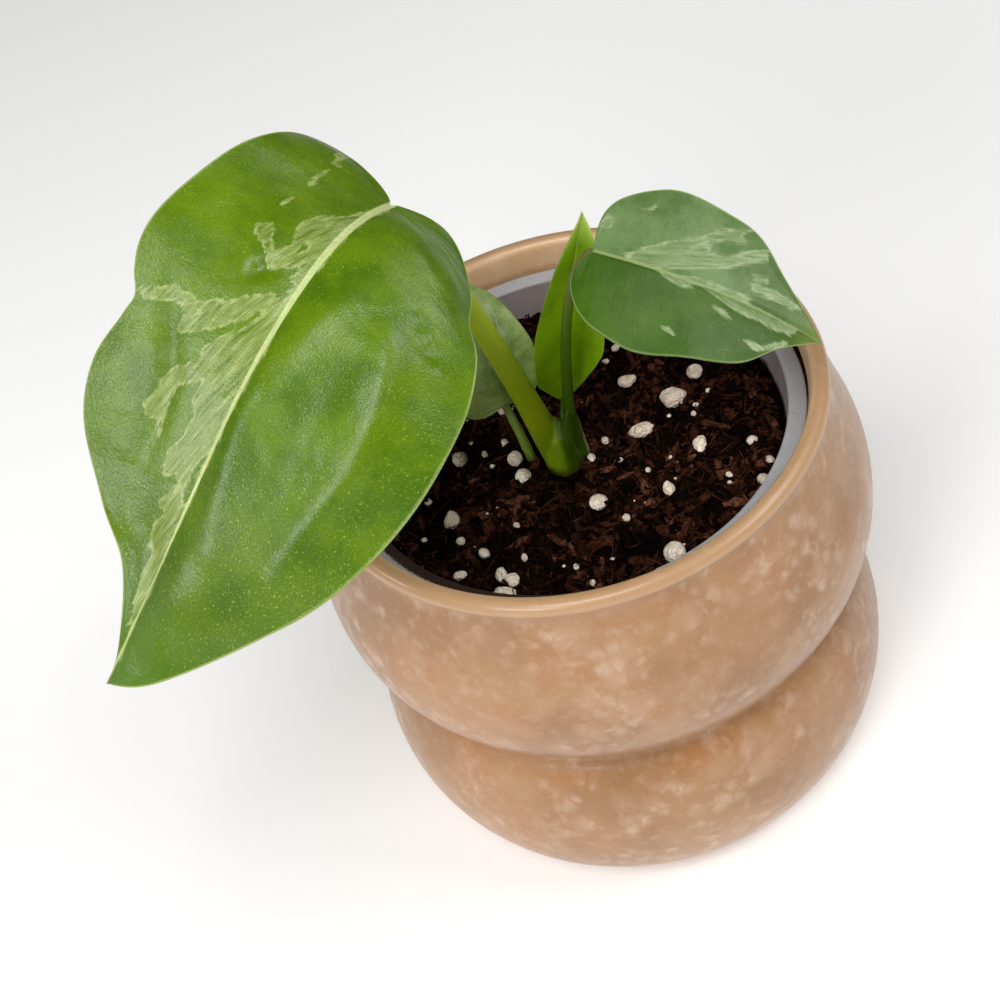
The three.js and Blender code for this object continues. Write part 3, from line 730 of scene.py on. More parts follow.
MEDIUM_CREAM = [
    [(6.1, -0.2), (10, -3.6), (13.2, -6.4), (18.3, -9.2), (20, -12.1), (26.7, -15.1),
     (25.2, -13.1), (26.5, -11.6), (22.4, -10.8), (19, -8.8), (16.8, -6.2), (20.2, -8.1),
     (19.8, -6.3), (23.8, -7.5), (30.3, -11.9), (31.3, -10), (26.6, -7.1), (24.6, -5.1),
     (19.9, -2.8), (16.4, -1.5), (12.3, 0), (8.4, 0)],
    [(12.4, 0.2), (15.7, 1.5), (17.4, 1.9), (21, 0.6), (25.8, 1.9), (31.1, 2.3), (36.4, 2.3),
     (40.2, 2), (41.2, 0.2), (36.9, 0.3), (31.9, -0.5), (26, -1), (19.7, -0.5), (15.8, -0.2)],
    [(29.6, -5.6), (32.4, -6.4), (32.4, -5.5), (29.9, -5.1)],
    [(30.1, -4), (34.7, -4.8), (40.4, -3.9), (38.4, -3), (34.1, -3.4), (30.4, -3.1)],
    [(32.2, 7.7), (36.2, 7.2), (39.7, 4.6), (36.1, 8), (34.2, 8.9)],
    [(24.9, 3.4), (27, 3.6), (28.6, 4.4), (26.6, 4.4)],
    [(16.9, 11.7), (18, 11.2), (19.1, 12.4)],
    [(-0.6, -5.7), (0.1, -7.9), (1.6, -7.9), (0.9, -5.3)],
    [(5.9, -11.2), (8, -12.6), (7.9, -11.5)],
]
SMALL_CREAM = [
    [(3, 2), (8, 5), (14, 7.5), (20, 7), (17, 5), (22, 4), (15, 3), (9, 1)],
    [(6, -3), (12, -8), (18, -9), (15, -5), (22, -5), (14, -2)],
]

# Folds of the large blade: (places along the crest, height, half width).
LARGE_FOLDS = [
    ([(27.1, -9.4), (39.4, -5.9), (51.1, -3.6), (60.4, -3.1), (67.7, -3.9), (75.4, -6.4),
      (81, -9.2)], 1.35, 3.8),
    ([(37.2, -14.7), (46, -16.4), (55.8, -17.8), (69, -19), (74.8, -18.7)], -0.3, 2.9),
    ([(39, -18.1), (48.7, -20.3), (61.1, -21.9), (68.8, -21.5), (76.4, -19.7)], 0.95, 3.7),
    ([(29.3, -15.5), (40.2, -22.2), (49.1, -24.9), (59.9, -26.1), (69.5, -24.4),
      (80.2, -21.6)], 1.35, 2.9),
    ([(50, 22.5), (56.5, 19.4), (64.8, 14.7), (73.6, 13.4), (80, 14)], -0.8, 2.6),
    ([(20, 11), (34, 9.5), (48, 8), (62, 6.5)], 0.4, 4.9),
]

# midrib: a Bezier curve in the part's frame. roll: degrees at the base and the tip.
# wave: height and number of ripples in the rim. hollow: depth of each half's middle.
# dents: (along, out, radius, depth). puckers: height and grain. left and right: the
# rim as (along, out). grid: how finely each half is divided along and across.
PLAIN = {"hollow": (0, 0), "folds": [], "dents": [], "green": []}
LEAVES = {
    "large": {
        **PLAIN,
        "midrib": [(-20.8, -8, 168.7), (-34.8, -27, 183.6), (-62, -39.2, 151),
            (-96.8, -50, 113.1)],
        "length": LARGE_LENGTH, "roll": (29, 20), "cup": 0.12, "droop": 0.007, "lobe_droop": 0.003,
        "wave": (0.9, 4.5), "hollow": (-2.5, 1.9), "folds": LARGE_FOLDS,
        "dents": [(36.2, 7.9, 2, 1.4), (38.2, 9, 1.6, 0.7), (34, 8.8, 1.4, -0.3),
            (29.4, -22.9, 1.5, 0.5), (31.2, -24.9, 1, 0.5), (26.6, -20.4, 1.1, 0.35),
            (34, -27.4, 1, 0.4)],
        "puckers": (0.35, 9),
        "left": [(-3.5, 1.6), (-6.3, 8), (-2.2, 16), (5.4, 23.3), (15.6, 27.1), (25.5, 32.4),
            (44, 36.4), (60.3, 37), (78.2, 32.2), (89.7, 24.5), (104.9, 10.2)],
        "right": [(-2.5, 3), (-5.5, 14), (-3, 23.5), (9.8, 25.5), (32.7, 30.7), (44, 32),
            (51, 30.9), (55.5, 28.9), (60.2, 30.2), (70.5, 32.6), (80.8, 29), (88.9, 18.1),
            (94, 7.5), (103.7, 1.6)],
        "grid": (220, 50), "cream": LARGE_CREAM, "green": LARGE_GREEN,
    },
    "medium": {
        **PLAIN,
        "midrib": [(13.4, -8, 145.8), (26.7, -15.7, 142.1), (39.1, -22, 135), (49.7, -27, 124.6)],
        "length": 46.6, "roll": (-12, -14), "cup": 0.1, "droop": 0.006, "lobe_droop": 0.004,
        "wave": (0.4, 3.5), "puckers": (0.14, 6),
        "left": [(-0.8, 3.9), (-0.4, 9), (2, 13.2), (7, 16.7), (13.2, 17.9), (25.8, 15.9),
            (35.2, 8.8)],
        "right": [(-1.7, 3.7), (-2.1, 7.1), (-1, 10.5), (1.6, 13.9), (5.3, 16.4), (12.7, 18),
            (21.9, 16), (28.4, 14.2), (33.9, 11.4), (39.2, 5.8)],
        "grid": (160, 40), "cream": MEDIUM_CREAM,
    },
    "new": {
        **PLAIN,
        "midrib": [(0.7, 5, 98.8), (4.7, 4.9, 114.4), (8, 6.4, 129.3), (13.9, 9, 141.9)],
        "length": 45.4, "roll": (-67, -67), "cup": 0.95, "droop": 0, "lobe_droop": 0,
        "wave": (0.2, 2), "puckers": (0.12, 6),
        "left": [(0.1, 1), (3.5, 3.5), (7.2, 5.5), (14.8, 6.9), (21.3, 7.3), (32.5, 5.5),
            (41.4, 1.5)],
        "right": [(0.6, 0.7), (3.4, 2.1), (8.9, 4.4), (13.8, 6.2), (18.1, 6.8), (29.6, 5.3),
            (40.6, 2.6)],
        "grid": (80, 20), "cream": [],
    },
    "small": {
        **PLAIN,
        "midrib": [(-11.9, 7, 99.8), (-13.5, 10.3, 111), (-16.4, 17.7, 119.9), (-22, 29, 122.1)],
        "length": 34.7, "roll": (0, 0), "cup": 0.1, "droop": 0.006, "lobe_droop": 0,
        "wave": (0.3, 3), "puckers": (0.5, 4),
        "left": [(-0.2, 3.8), (0.5, 6.4), (2.5, 9.2), (7.3, 11.8), (14.9, 12.3), (22.7, 10.3),
            (29.6, 6.1)],
        "right": [(-1.4, 4.5), (-0.5, 7.9), (1.9, 9.6), (5.7, 10.7), (10.8, 11.4), (20.9, 9.7),
            (30.6, 3.9)],
        "grid": (110, 30), "cream": SMALL_CREAM,
    },
}


def distance_inside(points, outline):
    """Signed distance of each point from a closed outline, above 0 inside."""
    ring = np.array(outline, float)
    ends = np.roll(ring, -1, axis=0)
    nearest = np.full(len(points), 1e9)
    inside = np.zeros(len(points), bool)
    x, y = points[:, 0], points[:, 1]
    for a, b in zip(ring, ends):
        span = b - a
        share = np.clip(((points - a) @ span) / max(span @ span, 1e-9), 0, 1)
        nearest = np.minimum(nearest, np.linalg.norm(points - a - share[:, None] * span, axis=1))
        crosses = (a[1] > y) != (b[1] > y)
        rise = span[1] if abs(span[1]) > 1e-9 else 1e-9
        inside ^= crosses & (x < a[0] + (y - a[1]) * span[0] / rise)
    return np.where(inside, nearest, -nearest)


def cream_depth(leaf, points):
    """How deep each point lies in the cream areas, negative in the green, within 4 mm."""
    depth = np.full(len(points), -4.0)
    for outline in leaf["cream"]:
        depth = np.maximum(depth, distance_inside(points, outline))
    for outline in leaf["green"]:
        depth = np.minimum(depth, -distance_inside(points, outline))
    return depth


def near_line(u, v, points):
    """Distance of each place from a bent line, and its share of the way along it."""
    p = np.array(points, float)
    nearest, share = np.full(u.shape, 1e9), np.zeros(u.shape)
    for k, (a, b) in enumerate(zip(p, p[1:])):
        span = b - a
        s = np.clip(((u - a[0]) * span[0] + (v - a[1]) * span[1]) / (span @ span), 0, 1)
        distance = np.hypot(u - a[0] - s * span[0], v - a[1] - s * span[1])
        closer = distance < nearest
        nearest = np.where(closer, distance, nearest)
        share = np.where(closer, (k + s) / (len(p) - 1), share)
    return nearest, share


def blade_places(leaf, along, out):
    """Points on the blade's middle surface and its upward normals."""
    share = along / leaf["length"]
    inside = np.minimum(0.5 * (share + np.sqrt(share**2 + BASE_EASE**2)), 1)
    heading = bezier_heading(leaf["midrib"], inside)
    level = unit(np.cross(heading, [0, 0, 1]))
    up = np.cross(level, heading)
    roll = np.radians(leaf["roll"][0] + (leaf["roll"][1] - leaf["roll"][0]) * inside)[..., None]
    side = np.cos(roll) * level + np.sin(roll) * up
    normal = np.cross(side, heading)
    lift = leaf["cup"] * np.abs(out) - leaf["droop"] * out**2
    lift = lift - leaf["lobe_droop"] * np.minimum(along, 0) ** 2
    centre = bezier(leaf["midrib"], inside)
    behind = heading * ((share - inside) * leaf["length"])[..., None]
    return centre + behind + side * out[..., None] + normal * lift[..., None], normal


def blade_half(leaf, name, sign):
    """Grids over one half of a blade, from the midrib out, one row of places per station."""
    stations, rows = leaf["grid"]
    corners = [(0, 0), *[(d, sign * o) for d, o in leaf[name]], (leaf["length"], 0)]
    rim = smooth_outline(corners, stations + 1)
    w = np.linspace(0, 1, stations + 1)[:, None]
    t = (np.linspace(0, 1, rows + 1) ** 0.85)[None]
    root = leaf["length"] * np.clip((w - VEINLESS_SHARE) / (1 - VEINLESS_SHARE), 0, 1) ** 1.05
    along = root * (1 - t) + rim[:, :1] * t
    out = rim[:, 1:] * t
    return along, out, np.broadcast_to(w, along.shape), np.broadcast_to(t, along.shape)


def vein_places(leaf, out, w, t, sign):
    """Coordinates in millimetres across the side veins and along them."""
    across = 1.17 * leaf["length"] * w
    outward = sign * t * np.maximum(np.abs(out[:, -1:]), 0.25 * leaf["length"])
    return np.stack([across, outward, np.zeros(w.shape)], axis=-1)


def relief(leaf, along, out, w, t, sign, veins):
    """Height of the ripples, hollow, folds, dents and puckers above the smooth blade."""
    size = leaf["length"] / LARGE_LENGTH
    wave, count = leaf["wave"]
    height = wave * t * t * np.sin(np.pi * w) * np.sin(2 * np.pi * count * w + sign)
    reach = smoothstep(-4 * size, 12 * size, along)
    reach = reach * (1 - smoothstep(88 * size, 106 * size, along))
    height = height - leaf["hollow"][sign > 0] * np.sin(np.pi * t) * reach
    for points, lift, width in leaf["folds"]:
        distance, share = near_line(along, out, points)
        ends = np.sqrt(np.sin(np.pi * np.clip(share, 0.03, 0.97)))
        height = height + lift * ends * np.exp(-((distance / width) ** 2))
    for u, v, radius, depth in leaf["dents"]:
        height = height - depth * np.exp(-((along - u) ** 2 + (out - v) ** 2) / radius**2)
    amount, grain = leaf["puckers"]
    soft = fractal((veins * [1, 0.45, 1]).reshape(-1, 3), 1 / grain, 3).reshape(w.shape)
    edges = np.sin(np.pi * np.clip(t, 0, 1)) ** 0.5
    return height + amount * edges * soft


def blade(name, slot):
    """One leaf's blade: an upper and a lower face for each half, shut along the rim."""
    leaf = LEAVES[name]
    size = leaf["length"] / LARGE_LENGTH
    vertices, faces, uv, vein, patch, rim, top = [], [], [], [], [], [], []
    start = 0
    for half, sign in (("left", -1), ("right", 1)):
        along, out, w, t = blade_half(leaf, half, sign)
        middle, normal = blade_places(leaf, along, out)
        veins = vein_places(leaf, out, w, t, sign)
        bump = relief(leaf, along, out, w, t, sign, veins)
        ridge = np.exp(-((out / size**0.5) ** 2))
        groove = -0.45 * size**0.5 * ridge * smoothstep(-3, 4, along)
        slim = 1 - 0.55 * smoothstep(0.8, 1, t)
        half_thick = 0.5 * BLADE_THICKNESS * slim
        keel = 1.1 * size**0.5 * (1 - 0.8 * w) * ridge * smoothstep(-2, 6 * size, along)
        upper = middle + normal * (bump + half_thick + groove)[..., None]
        lower = middle + normal * (bump - half_thick - keel)[..., None]
        stations, columns = along.shape
        flat = np.stack([along.ravel(), out.ravel()], axis=1)
        depth = cream_depth(leaf, flat)
        edge = ((1 - t) * (np.abs(out[:, -1:]) + 2)).ravel()
        for face, points in ((1, upper), (0, lower)):
            vertices.append(points.reshape(-1, 3))
            grid = grid_faces(stations, columns, start)
            outward = (sign > 0) == (face == 1)
            faces.extend(tuple(reversed(f)) if outward else f for f in grid)
            uv.append(np.column_stack([flat, np.zeros(len(flat))]))
            vein.append(veins.reshape(-1, 3))
            patch.append(depth)
            rim.append(edge)
            top.append(np.full(len(flat), float(face)))
            start += stations * columns
        upper_start, lower_start = start - 2 * stations * columns, start - stations * columns
        for near in range(columns - 1, stations * columns - 1, columns):
            far = near + columns
            strip = (upper_start + near, upper_start + far, lower_start + far, lower_start + near)
            faces.append(strip if sign < 0 else tuple(reversed(strip)))
    attributes = {
        "leaf": np.vstack(uv), "vein": np.vstack(vein), "cream": np.concatenate(patch),
        "rim": np.concatenate(rim), "top": np.concatenate(top),
    }
    joined(piece(f"{name}_leaf", np.vstack(vertices), faces, leaf_skin(name), slot,
                 f"{name}_leaf_blade", attributes=attributes))


def joined(obj):
    """Joins the halves of a blade along the midrib, drops faces with no area and shuts slits."""
    made = bmesh.new()
    made.from_mesh(obj.data)
    bmesh.ops.remove_doubles(made, verts=made.verts, dist=JOINS_WITHIN * MM)
    bmesh.ops.dissolve_degenerate(made, edges=made.edges, dist=0.5 * JOINS_WITHIN * MM)
    bmesh.ops.holes_fill(made, edges=made.edges, sides=0)
    made.to_mesh(obj.data)
    made.free()
    obj.data.polygons.foreach_set("use_smooth", [True] * len(obj.data.polygons))


# How each leaf looks. left and right: the darker and the lighter green of each half; on the
# medium leaf the left pair is greyed with painted sheen. rib: the midrib, its half width at the
# base in millimetres. border, milky and streak: the cream areas' edge, body and green streaks.
# ragged and soft: how torn and how blurred their edge is.
# flecks and net: strengths of the pale dots and the fine grain. glow: light let through.
LOOKS = {
    "large": {
        "left": ((71, 106, 0), (95, 128, 2)), "right": ((80, 113, 0), (99, 131, 2)),
        "rib": (206, 217, 150), "rib_width": 0.75, "margin": (170, 182, 96),
        "border": (160, 175, 104), "milky": (126, 145, 68), "streak": (86, 116, 16),
        "ragged": 0.5, "soft": 0.2, "fleck": (150, 178, 60), "flecks": 0.75, "net": 0.035,
        "under": (128, 156, 84), "tip": (78, 116, 4), "roughness": 0.31, "specular": 0.44,
        "leather": 0.12, "glow": 0,
    },
    "medium": {
        # Painted sheen: the left pair is greyed to stand for the gloss seen on this half.
        "left": ((76, 108, 42), (112, 140, 84)), "right": ((56, 93, 6), (75, 110, 26)),
        "rib": (140, 158, 90), "rib_width": 0.4, "margin": (160, 176, 104),
        "border": (160, 176, 132), "milky": (128, 150, 98), "streak": (100, 130, 68),
        "ragged": 0.4, "soft": 0.35, "fleck": (130, 160, 100), "flecks": 0.15, "net": 0.03,
        "under": (104, 136, 84), "tip": (112, 132, 64), "roughness": 0.36, "specular": 0.3,
        "leather": 0, "glow": 0,
    },
    "new": {
        "left": ((126, 166, 4), (154, 196, 10)), "right": ((120, 158, 4), (144, 184, 12)),
        "rib": (140, 172, 30), "rib_width": 0.35, "margin": (156, 184, 60),
        "border": (150, 180, 70), "milky": (150, 180, 70), "streak": (112, 146, 34),
        "ragged": 0.2, "soft": 0.4, "fleck": (150, 180, 60), "flecks": 0.1, "net": 0.01,
        "under": (110, 156, 16), "tip": (176, 196, 100), "roughness": 0.36, "specular": 0.35,
        "leather": 0, "glow": 0.5,
    },
    "small": {
        "left": ((118, 148, 54), (176, 194, 118)), "right": ((116, 146, 52), (174, 192, 118)),
        "rib": (140, 162, 96), "rib_width": 0.4, "margin": (140, 156, 90),
        "border": (176, 190, 138), "milky": (164, 180, 120), "streak": (104, 136, 56),
        "ragged": 0.7, "soft": 0.5, "fleck": (160, 176, 120), "flecks": 0.3, "net": 0.06,
        "under": (112, 140, 90), "tip": (104, 130, 60), "roughness": 0.45, "specular": 0.35,
        "leather": 0, "glow": 0.2,
    },
}


def leaf_skin(name):
    look, length = LOOKS[name], LEAVES[name]["length"]
    m = Nodes(f"{name} leaf", look["roughness"], Specular_IOR_Level=look["specular"],
              Subsurface_Weight=look["glow"], Subsurface_Radius=(0.9, 1, 0.3),
              Subsurface_Scale=MM)
    flat, vein = m.attribute("leaf", "Vector"), m.attribute("vein", "Vector")
    along, out = m.split(flat)["X"], m.split(flat)["Y"]
    cloud = m.ramp(m.noise(flat, 0.07, 4, 0.6), 0.36, 0.64)
    # On the medium leaf, the left greens carry painted sheen.
    left, right = (m.mix(cloud, *look[side]) for side in ("left", "right"))
    side = m.ramp(out, -0.4, 0.4)
    green = m.mix(side, left, right)
    deep = m.mix(side, *(tuple(0.78 * c for c in look[half][0]) for half in ("left", "right")))
    green = m.mix(m.ramp(along, 0.45 * length, 0.9 * length, 0, 0.35), green, deep)
    brushed = m.noise(m.stretch(vein, (1, 0.22, 1)), 0.6, 5, 0.7)
    bright = m.mix(side, look["left"][1], look["right"][1])
    lively = m.mix(m.ramp(brushed, 0.5, 0.74, 0, 0.4), green, bright)
    net = m.cells(flat, 2.3)
    grained = m.mix(m.ramp(net, 0.05, 0.6, 0.3, 0), lively, deep)
    crowd = m.math("ADD", m.noise(flat, 0.12, 2), m.ramp(along, 0, length, -0.1, 0.15))
    strength = m.times(m.ramp(crowd, 0.36, 0.62, 0.4, 1), look["flecks"])
    jumbled = m.drift(flat, 2.6, 0.7)
    large_dots = m.spots(jumbled, 1, 0.04, 0.14, 0.14, 0.45, True)
    small_dots = m.spots(jumbled, 2.6, 0.08, 0.28, 0.26, 0.4, True)
    dots = m.math("MAXIMUM", large_dots, m.times(small_dots, 0.6))
    flecked = m.mix(m.times(dots, strength), grained, look["fleck"])
    tipped = m.mix(m.ramp(along, 0.82 * length, 0.99 * length), flecked, look["tip"])
    slant = m.math("MULTIPLY_ADD", along, -0.34, m.math("ABSOLUTE", out))
    halves = m.ramp(out, -0.2, 0.2, 0, 9)
    fibre = m.drift(m.join(slant, m.times(along, 0.12), halves), 0.25, 1.6)
    brush = m.noise(fibre, 0.5, 4, 0.62)
    fine = m.noise(m.stretch(fibre, (1, 4, 1)), 1.5, 4, 0.7)
    ragged = m.pushed(m.attribute("cream"), brush, 8 * look["ragged"])
    line = m.pushed(ragged, fine, 2.6 * look["ragged"])
    streaks = m.noise(fibre, 1.3, 5, 0.68)
    inside = m.mix(m.ramp(streaks, 0.49, 0.63, 0, 0.95), look["milky"], look["streak"])
    inside = m.mix(m.ramp(streaks, 0.36, 0.46, 0.8, 0), inside, look["border"])
    patchy = m.ramp(m.noise(flat, 0.45, 2), 0.42, 0.58, 0.1, 0.9)
    border = m.mix(m.times(patchy, m.ramp(line, 0, 0.5, 1, 0)), inside, look["border"])
    patched = m.mix(m.ramp(line, -0.3 - look["soft"], look["soft"] - 0.3), tipped, border)
    half = m.ramp(along, 0, length, look["rib_width"], 0.25 * look["rib_width"])
    off = m.math("ABSOLUTE", m.math("SUBTRACT", out, 0.2 * look["rib_width"]))
    spine = m.ramp(m.math("SUBTRACT", off, half), -0.2, 0.14, 0.9, 0)
    rib = m.mix(m.ramp(fine, 0.4, 0.7, 0, 0.6), look["rib"], look["border"])
    ribbed = m.mix(spine, patched, rib)
    margin = m.ramp(m.attribute("rim"), 0.1, 0.42, 0.7, 0)
    edged = m.mix(margin, ribbed, look["margin"])
    shade = m.ramp(m.noise(flat, 0.3, 4), 0.4, 0.7)
    beneath = m.mix(shade, look["under"], tuple(0.88 * c for c in look["under"]))
    reach = m.ramp(m.math("ABSOLUTE", out), 0.7, 1.3, 0.7, 0)
    both = m.mix(m.attribute("top"), m.mix(reach, beneath, look["rib"]), edged)
    pores = m.noise(flat, 3, 3, 0.6)
    ribs = m.noise(m.stretch(vein, (1, 0.3, 1)), 0.5, 4, 0.6)
    height = m.math("MULTIPLY_ADD", pores, look["net"], m.times(net, look["net"]))
    height = m.math("MULTIPLY_ADD", ribs, 3 * look["net"], height)
    if look["leather"]:
        area = m.times(m.ramp(out, 9, 16), m.ramp(along, 34, 46))
        hide = m.noise(m.drift(flat, 0.5, 1), 0.8, 3, 0.6)
        height = m.math("MULTIPLY_ADD", m.times(hide, area), look["leather"], height)
    return m.finish(both, bump=height, bump_depth=1.0)


# Stalks and stem


def sweep(centres, section, sides):
    """A closed tube through centre points. section gives each ring's radii by angle."""
    centres = np.array(centres, float)
    along = unit(np.gradient(centres, axis=0))
    across = unit(np.cross(np.cross(along[0], [1, 0, 0]), along[0]) * -1)
    turn = np.linspace(0, 2 * np.pi, sides, endpoint=False)
    rings = []
    for k, (centre, heading) in enumerate(zip(centres, along)):
        across = unit(across - heading * (across @ heading))
        deep = np.cross(heading, across)
        radii = section(k / (len(centres) - 1), turn)
        rings.append(centre + radii[:, None] * (
            np.cos(turn)[:, None] * across + np.sin(turn)[:, None] * deep))
    vertices = np.vstack(rings + [centres[:1], centres[-1:]])
    share = np.repeat(np.linspace(0, 1, len(centres)), sides)
    attributes = {"share": np.r_[share, 0, 1], "turn": np.r_[np.tile(turn, len(centres)), 0, 0]}
    return vertices, tube_faces(len(centres), sides), attributes


def stalk_skin(name, low, high, streak, top=None, streaks=0.55):
    """low to high along the stalk, then top if given, with streaks lengthwise."""
    m = Nodes(name, 0.38, Specular_IOR_Level=0.35)
    share, turn = m.attribute("share"), m.attribute("turn")
    x, z = (m.times(m.math(wave, turn), 1.6) for wave in ("SINE", "COSINE"))
    grain = m.noise(m.join(x, m.times(share, 3), z), 2.2, 4, 0.65)
    body = m.mix(share, low, high)
    if top:
        body = m.mix(m.ramp(share, 0.5, 0.9), body, top)
    lined = m.mix(m.ramp(grain, 0.48, 0.7, 0, streaks), body, streak)
    patch = m.ramp(m.noise(m.place(), 0.4, 3), 0.5, 0.75, 0, 0.3)
    patchy = m.mix(patch, lined, tuple(0.7 * c for c in low))
    return m.finish(patchy, bump=grain, bump_depth=0.1)


def crown_skin():
    """Olive under the large stalk and deep green under the medium one, the split between them
    partly painted light and shade; pale on the sheath's edge.
    """
    m = Nodes("stem", 0.4, Specular_IOR_Level=0.35)
    axes = m.split(m.place())
    grain = m.noise(m.place((1, 1, 0.15)), 1.3, 4, 0.65)
    shift = m.pushed(axes["X"], grain, 1.4)
    olive = m.mix(m.ramp(grain, 0.4, 0.7), (98, 122, 4), (116, 136, 16))
    olive = m.mix(m.ramp(axes["Z"], 95, 107), olive, (146, 168, 16))
    deep = m.mix(m.ramp(grain, 0.4, 0.7), (46, 70, 0), (60, 86, 4))
    # Painted light and shade: the lighter olive left and darker green right stand partly for the
    # lit and shaded sides, partly for the two stalks' own colours.
    sides = m.mix(m.ramp(shift, -3.6, -1.9), olive, deep)
    wing = m.mix(m.ramp(shift, 1.9, 2.6), sides, (150, 156, 84))
    foot = m.mix(m.ramp(axes["Z"], 88.5, 91.5, 0.7, 0), wing, (62, 60, 16))
    return m.finish(foot, bump=grain, bump_depth=0.12)


def stalk(name, points, radii, groove, material, base=1.0):
    """A leaf stalk that widens by base at its foot, with a groove along its upper side."""
    def section(share, turn):
        radius = np.interp(share, np.linspace(0, 1, len(radii)), radii)
        radius *= 1 + (base - 1) * (1 - smoothstep(0, 0.16, share))
        dip = groove * np.exp(-((np.angle(np.exp(1j * (turn - math.pi / 2))) / 0.42) ** 2))
        return radius * (1 - dip)

    vertices, faces, attributes = sweep(bezier(points, np.linspace(0, 0.985, 70)), section, 28)
    piece(f"{name}_stalk", vertices, faces, material, "stalk", f"{name}_leaf_stalk",
          attributes=attributes)


# Bezier curves from the foot to the blade
LARGE_STALK = [(-4.4, -2.2, 92.5), (-9, -4, 122), (-13.5, -3, 148), (-20.4, -7.7, 167.9)]
MEDIUM_STALK = [(0.2, -2.6, 92.5), (0.83, -3.8, 109.8), (6.1, -6.5, 144.1), (13.4, -8, 145.8)]
NEW_STALK = [(-1.9, -1, 89), (-1.4, 1.2, 92), (-0.3, 3.8, 94.6), (0.7, 5, 99.4)]
SMALL_STALK = [(-9.6, 0.1, 82), (-9.6, 0.6, 92.5), (-11.3, 5.4, 96), (-11.9, 7, 99.6)]


def round_tube(centres, radii, flat=1.0):
    """A tube through centre points, thinned to one side by flat."""
    def section(share, turn):
        radius = np.interp(share, np.linspace(0, 1, len(radii)), radii)
        return radius / np.sqrt(np.cos(turn) ** 2 + (np.sin(turn) / flat) ** 2)

    return sweep(centres, section, 36)[:2]


def bent_line(points, count=30):
    """Evenly numbered places along straight runs between points."""
    p = np.array(points, float)
    s = np.linspace(0, len(p) - 1, count)
    return np.stack([np.interp(s, np.arange(len(p)), p[:, k]) for k in range(3)], axis=1)


SKIN_CELL = 0.28
SKIN_ROUNDS = 4


def merged(parts):
    """One closed skin round overlapping closed shapes, softened where they meet."""
    vertices, faces, start = [], [], 0
    for points, polygons in parts:
        vertices.append(points)
        faces.extend(tuple(i + start for i in f) for f in polygons)
        start += len(points)
    rough = bpy.data.meshes.new("rough")
    rough.from_pydata(np.vstack(vertices).tolist(), [], faces)
    obj = bpy.data.objects.new("rough", rough)
    bpy.context.scene.collection.objects.link(obj)
    skin = obj.modifiers.new("skin", "REMESH")
    skin.mode, skin.voxel_size = "VOXEL", SKIN_CELL
    skinned = obj.evaluated_get(bpy.context.evaluated_depsgraph_get())
    made = bpy.data.meshes.new_from_object(skinned)
    points = np.array([v.co[:] for v in made.vertices])
    polygons = [tuple(p.vertices) for p in made.polygons]
    edges = np.array([e.vertices[:] for e in made.edges])
    bpy.data.objects.remove(obj)
    bpy.data.meshes.remove(rough)
    bpy.data.meshes.remove(made)
    neighbours = np.bincount(edges.ravel(), minlength=len(points))[:, None]
    for _ in range(SKIN_ROUNDS):
        total = np.zeros_like(points)
        np.add.at(total, edges[:, 0], points[edges[:, 1]])
        np.add.at(total, edges[:, 1], points[edges[:, 0]])
        points = 0.5 * points + 0.5 * total / neighbours
    return points, polygons


def crown():
    """The short stem, the stalk bases that clasp it and the edge of the old sheath."""
    x, y = STEM_CENTRE
    stem = bent_line([(x, y, 74), (x, y, 88), (x, -3.1, 95), (x, -3, 101.2)], 40)
    sheath = bent_line([(-1.6, -4.4, 90), (-1.2, -4.3, 97), (0.3, -4.2, 103.4)])
    wing = bent_line([(1.6, -3.2, 106.5), (1.9, -3.2, 99), (2, -3, 92.3), (2.4, -3.5, 88)])
    return merged([
        round_tube(stem, (3, 4.4, 4.3, 4.1, 3.3, 0.9), 0.9),
        round_tube(bezier(LARGE_STALK, np.linspace(-0.06, 0.32, 30)), (3.2, 3.1, 2.8, 2.5, 2.1)),
        round_tube(bezier(MEDIUM_STALK, np.linspace(-0.06, 0.26, 30)), (2.6, 2.2, 1.5, 1.15, 0.9)),
        round_tube(bezier(NEW_STALK, np.linspace(0, 1, 24)), (1.8, 1.5, 1.1, 0.8)),
        round_tube(sheath, (2.4, 2, 0.5)),
        round_tube(wing, (0.3, 0.5, 0.6, 0.6)),
    ])


def build_plant():
    for name, slot in (
        ("large", "leaf"), ("medium", "leaf"), ("new", "young_leaf"), ("small", "leaf"),
    ):
        blade(name, slot)
    olive = stalk_skin("large stalk", (140, 164, 10), (156, 174, 28), (172, 186, 50), streaks=0.4)
    deep = stalk_skin("medium stalk", (60, 88, 2), (74, 106, 8), (88, 116, 18),
                      top=(104, 104, 30), streaks=0.4)
    pale = stalk_skin("small stalk", (88, 116, 16), (108, 134, 44), (160, 174, 100))
    stalk("large", LARGE_STALK, (2.7, 2.5, 2.2, 1.9, 1.6), 0.12, olive, 1.1)
    stalk("medium", MEDIUM_STALK, (1.3, 1.15, 1.05, 1, 0.95), 0.1, deep, 1.2)
    stalk("small", SMALL_STALK, (1.25, 1.1, 1, 0.95, 0.85), 0.1, pale)
    piece("stem", *crown(), crown_skin(), "stem", "stem_base")


# Stage, in metres

FLOOR_REACH = 30.0
AIM = (0, 0, 0.1)
LIGHT_DISTANCE = 0.95
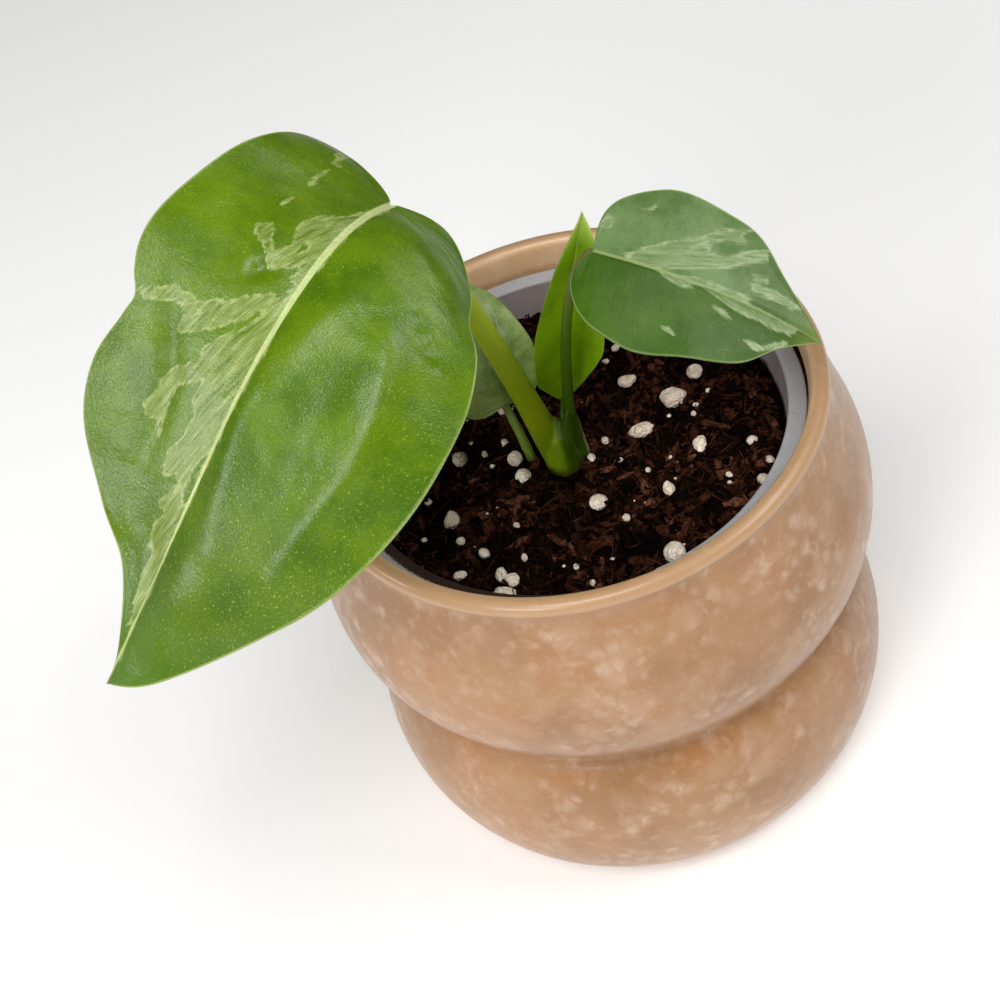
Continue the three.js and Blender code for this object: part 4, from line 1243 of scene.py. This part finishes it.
# [name, direction from AIM, width and height, brightness]
LIGHTS = (
    ("front above", (-0.13, -0.53, 0.84), (0.45, 0.36), 8.5),
    ("front left", (-0.51, -0.73, 0.45), (0.36, 0.29), 9.0),
    ("low left", (-0.91, -0.11, 0.41), (0.32, 0.26), 8.5),
    ("right above", (0.68, -0.21, 0.7), (0.45, 0.36), 6.0),
    ("back right", (0.5, 0.17, 0.85), (0.3, 0.24), 4.5),
)
CAMERA_LENS = 66.66
CAMERA_PLACE = (0, -0.27728, 0.37107)
CAMERA_RIGHT = (0.9602, -0.1687, -0.2227)
CAMERA_UP = (0.2753, 0.7059, 0.6526)
CAMERA_BACK = (0.0471, -0.688, 0.7243)


def area_light(name, place, size, radiance):
    """A softbox turned to AIM, its brightness given as what a mirror facing it would show."""
    light = bpy.data.lights.new(name, "AREA")
    light.shape = "RECTANGLE"
    light.size, light.size_y = size
    light.energy = radiance * math.pi * size[0] * size[1]
    obj = bpy.data.objects.new(name, light)
    bpy.context.scene.collection.objects.link(obj)
    back = unit(np.array(place) - np.array(AIM))
    right = unit(np.cross([0, 0, 1], back))
    up = np.cross(back, right)
    turn = Matrix((right, up, back)).transposed().to_4x4()
    obj.matrix_world = Matrix.Translation(place) @ turn


def build_stage():
    mesh = bpy.data.meshes.new("floor")
    corners = FLOOR_REACH * np.array([(-1, -1, 0), (1, -1, 0), (1, 1, 0), (-1, 1, 0)])
    mesh.from_pydata(corners.tolist(), [], [(0, 1, 2, 3)])
    m = Nodes("pale floor", 0.9, Emission_Color=(1, 1, 1, 1), Emission_Strength=0.15)
    pale = m.mix(m.noise(m.place(), 0.004, 2), (250, 250, 249), (252, 252, 251))
    mesh.materials.append(m.finish(pale))
    floor = bpy.data.objects.new("floor", mesh)
    bpy.context.scene.collection.objects.link(floor)
    world = bpy.data.worlds.new("studio")
    bpy.context.scene.world = world
    world.use_nodes = True
    sky = world.node_tree.nodes["Background"]
    sky.inputs["Color"].default_value = (1, 1, 1, 1)
    sky.inputs["Strength"].default_value = 0.09
    for name, heading, size, radiance in LIGHTS:
        area_light(name, AIM + LIGHT_DISTANCE * unit(heading), size, radiance)
    camera = bpy.data.cameras.new("camera")
    camera.sensor_width = 36
    camera.lens = CAMERA_LENS
    camera.clip_start = 0.01
    eye = bpy.data.objects.new("camera", camera)
    bpy.context.scene.collection.objects.link(eye)
    turn = Matrix((CAMERA_RIGHT, CAMERA_UP, CAMERA_BACK)).transposed().to_4x4()
    eye.matrix_world = Matrix.Translation(CAMERA_PLACE) @ turn
    bpy.context.scene.camera = eye
    bpy.context.scene.view_settings.view_transform = "Standard"


build_pots()
build_soil()
build_plant()
build_stage()
